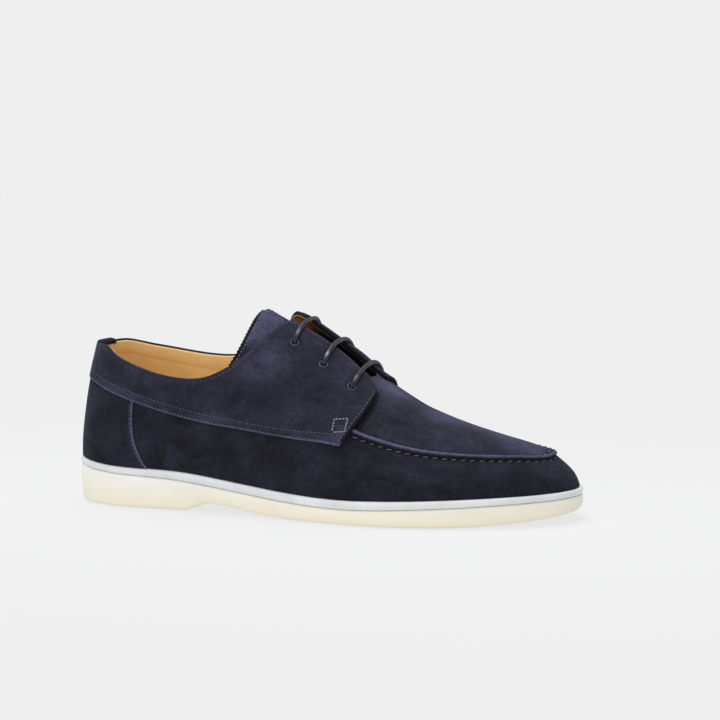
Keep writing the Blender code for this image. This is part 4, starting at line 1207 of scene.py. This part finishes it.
# the tongue's top is painted light, as it faces the light, and its pinked edge is darker
tongue = panel("suede_tongue", tongue_face, inward, -depth - half + (half - sunk) * full,
               -depth - half - half * full,
               nap=nap_and_light_patches(tongue_face, 0.85, TONGUE_NAP_AND_LIGHT) * pinked)
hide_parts("tongue")
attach(tongue, "root")
tongue.data.materials.append(suede)
tongue.data.materials.append(tan_leather)
middles = np.array([face.center for face in tongue.data.polygons]) * 1000 + MIDDLE
outward = unit(middles - tongue_axis(middles[:, 0]))
facing = np.sum(np.array([face.normal for face in tongue.data.polygons]) * outward, axis=-1)
tongue.data.polygons.foreach_set("material_index", (facing < -0.05).astype(np.int32))
row = int(np.argmin(np.abs(from_end - TONGUE_ROW)))
path = tongue_face[row] - inward[row] * depth[row][:, None]
sew("tongue_stitches", path[4:-4], tongue_normals[row, 4:-4], 1.0, 1.3, 0.5, pale_thread)


# ---------------------------------------------------------------- eyelets
# Three plain holes in each facing, punched through quarter, upper and lining at once, with
# no metal in them: the suede round each is pressed down and burnished to a low rim.

# distance from the heel, and in from the facing's edge
EYELETS = ((140.1, 13), (158.4, 16.8), (175, 17.6))
EYELET_RADIUS = 2.4
RIM_RADIUS, RIM_THICK = 2.2, 0.32


def eyelet(side, row):
    """An eyelet's middle on the last, and the way out through it."""
    x, inset = EYELETS[row]
    point = last_top(np.array([x]), np.array([THROAT_Y + side * (THROAT_HALF + inset)]))[0]
    return point, last_normal(point[None])[0]


def set_on(made, point, normal):
    """Moves a mesh from the origin to a point, with its z axis along a normal."""
    turn = Vector(normal).to_track_quat("Z", "Y").to_matrix().to_4x4()
    made.data.transform(Matrix.Translation(Vector((point - MIDDLE) * 0.001)) @ turn)


def cutter_side(side):
    """The three punches of one side, joined."""
    punches = []
    for row in range(len(EYELETS)):
        bpy.ops.mesh.primitive_cylinder_add(vertices=24, radius=EYELET_RADIUS * 0.001,
                                            depth=0.012)
        punches.append(bpy.context.object)
        set_on(punches[-1], *eyelet(side, row))
    for punch in punches:
        punch.select_set(True)
    bpy.ops.object.join()
    return bpy.context.object


for side in (-1, 1):
    punch = cutter_side(side)
    for piece in (quarters[side], upper, lining):
        choose(piece)
        hole = piece.modifiers.new("Eyelets", "BOOLEAN")
        hole.object = punch
        hole.solver = "EXACT"
        bpy.ops.object.modifier_apply(modifier=hole.name)
    bpy.data.objects.remove(punch)
    # the punched edges take the lining's painted shade too
    shade_values = lining_dye(mesh_points(lining))
    lining.data.attributes["dye"].data.foreach_set("value", shade_values)
    for row in range(len(EYELETS)):
        point, normal = eyelet(side, row)
        bpy.ops.mesh.primitive_torus_add(major_radius=RIM_RADIUS * 0.001,
                                         minor_radius=RIM_THICK * 0.001,
                                         major_segments=32, minor_segments=8)
        rim = bpy.context.object
        rim.name = rim.data.name = f"eyelet_rim_{side}_{row}"
        set_on(rim, point + normal * (QUARTER_OUT - 0.12), normal)
        bpy.ops.object.shade_smooth()
        rim.data.materials.append(slate_thread)
        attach(rim, "root")


# ---------------------------------------------------------------- lace
# A waxed cotton cord, braided of sixteen strands and pressed a little flat. It crosses the
# # gap in three bars and runs on under the facings; its hidden ends stop beside the top
# # eyelets. A painted glint lightens each bar where it leaves an outer eyelet.

LACE_RADIUS = 1.4
LACE_FLATNESS = 0.84             # the cord is pressed a little flat
LACE_STEP = 0.33
BRAID_PITCH = 5.0
BRAID_STRANDS = 8                # each way round
UNDER_WALL = 3.2                 # from the last to the top of a lace inside the upper
# the painted glint: how strong on each bar, how far it lies from the eyelet, over what length,
# # and the way that it faces
GLINT_AMOUNTS = (0.4, 1.0, 1.0)
GLINT_PLACE, GLINT_LENGTH = (1.4, 4.6, 4.6), 1.9
GLINT_WAY = (0.1, -0.8, 0.5)


def over_wall(point):
    """Middle of a lace that lies on a quarter over points of the last."""
    return point + last_normal(point) * (QUARTER_OUT + LACE_RADIUS * LACE_FLATNESS + 0.15)


def under_wall(point):
    """Middle of a lace that lies inside the upper, under points of the last."""
    return point - last_normal(point) * (UNDER_WALL + LACE_RADIUS)


def bar(side, row):
    """A bar from the eyelet on one side, across the gap, to the other."""
    start, end = eyelet(side, row)[0], eyelet(-side, row)[0]
    inset = EYELETS[row][1]
    rim = inset / (THROAT_HALF + inset) / 2
    at = start + (end - start) * np.array((0.0, 0.15, rim, 1 - rim, 0.85, 1.0))[:, None]
    at[:, 0] -= 1.3 * ease(at[:, 1] - THROAT_Y, 2, 10)
    return over_wall(last_top(at[:, 0], at[:, 1]))


def inner_run(side, first, last, aside):
    """The lace under a facing, a little nearer to or farther from the gap than the eyelets."""
    share = np.array((0.0, 0.25, 0.75, 1.0))
    clear = np.array((0.0, 1.0, 1.0, 0.0))
    (start, start_in), (end, end_in) = EYELETS[first], EYELETS[last]
    reach = THROAT_HALF + start_in + (end_in - start_in) * share + aside * clear
    return under_wall(last_top(start + (end - start) * share, THROAT_Y + side * reach))


route = np.concatenate((inner_run(1, 0, 1, -3.2)[1:], bar(1, 1), inner_run(-1, 1, 2, 0.0),
                        bar(-1, 2), inner_run(1, 2, 0, 3.4), bar(1, 0),
                        inner_run(-1, 0, 1, 0.0)[:2]))
curved = [route[:1]]
steps = np.linspace(0, 1, 13)[:-1, None]
for before, corner, after in zip(route, route[1:], route[2:]):
    start, end = (before + corner) / 2, (corner + after) / 2
    curved.append((start * (1 - steps) + corner * steps) * (1 - steps)
                  + (corner * (1 - steps) + end * steps) * steps)
curved = np.concatenate(curved + [(route[-2:-1] + route[-1:]) / 2, route[-1:]])
far = travelled(curved)
spots = np.arange(0, far[-1], LACE_STEP)
centre = spots_on(curved, far, spots)
ahead = unit(np.gradient(centre, axis=0))
side_way = np.empty_like(centre)
side_way[0] = unit(np.cross(ahead[0], (0.0, 0.0, 1.0)))
for i in range(1, len(spots)):
    side_way[i] = unit(side_way[i - 1] - ahead[i] * np.dot(side_way[i - 1], ahead[i]))
other_way = np.cross(ahead, side_way)
angles = np.linspace(0, 2 * pi, 25)
twist = 2 * pi * spots / BRAID_PITCH
relief = np.maximum(np.cos(BRAID_STRANDS / 2 * (angles[:, None] + twist)),
                    np.cos(BRAID_STRANDS / 2 * (angles[:, None] - twist)))
radius = LACE_RADIUS * (0.95 + 0.05 * relief)
radius = radius * np.minimum(1, np.minimum(spots + 0.02, spots[-1] - spots + 0.02) / 0.7) ** 0.4
spoke = (np.cos(angles)[:, None, None] * side_way
         + np.sin(angles)[:, None, None] * other_way) * radius[..., None]
upward = last_normal(centre)
upward = upward - ahead * (upward * ahead).sum(-1, keepdims=True)
spoke = spoke - upward * (spoke * upward).sum(-1, keepdims=True) * (1 - LACE_FLATNESS)
ring = centre + spoke
ring[-1] = ring[0]
ring[:, 0], ring[:, -1] = centre[0], centre[-1]
worn_wax = np.zeros(ring.shape[:2])
for row, glint_amount in enumerate(GLINT_AMOUNTS):
    point, normal = eyelet(-1, row)
    bend = point + normal * (QUARTER_OUT + LACE_RADIUS) + np.array(GLINT_PLACE)
    facing = np.clip(unit(spoke) @ unit(np.array(GLINT_WAY)), 0, 1) ** 4
    worn_wax = worn_wax + glint_amount * bell(norm(centre - bend), GLINT_LENGTH) * facing
lace = lay_grid("braided_lace", ring, braid=np.ascontiguousarray(relief), worn_wax=worn_wax)
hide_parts("lace")
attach(lace, "root")

# Waxed cotton: near black with a blue cast, glossier in patches, with a painted pale glint by the
# outer eyelets.
waxed_cord, tree, where = begin_material("waxed_cotton_cord")
crossing = node(tree, "Attribute", attribute_name="braid").outputs["Fac"]
tint = node(tree, "ValToRGB", {"Fac": crossing}, stops=((0.1, "#15151f"), (1.0, "#2a2b3d")))
wax = node(tree, "Attribute", attribute_name="worn_wax").outputs["Fac"]
glinted = node(tree, "Mix", {"Factor": wax, "A": tint, "B": linear("#e4e4ee")},
                data_type="RGBA")
worn = node(tree, "TexNoise", {"Vector": where, "Scale": 160.0, "Detail": 3.0})
gloss = node(tree, "MapRange", {"Value": worn, "From Min": 0.35, "From Max": 0.7,
                                "To Min": 0.3, "To Max": 0.6})
fibres = node(tree, "TexNoise", {"Vector": where, "Scale": 2600.0, "Detail": 2.0})
relief = node(tree, "Bump", {"Height": fibres, "Distance": 0.0001, "Strength": 0.5})
cord = node(tree, "BsdfPrincipled", {
    "Base Color": glinted, "Roughness": gloss, "Specular IOR Level": 0.24,
    "Coat Weight": 0.05, "Coat Roughness": 0.2, "Normal": relief})
node(tree, "OutputMaterial", {"Surface": cord})
lace.data.materials.append(waxed_cord)
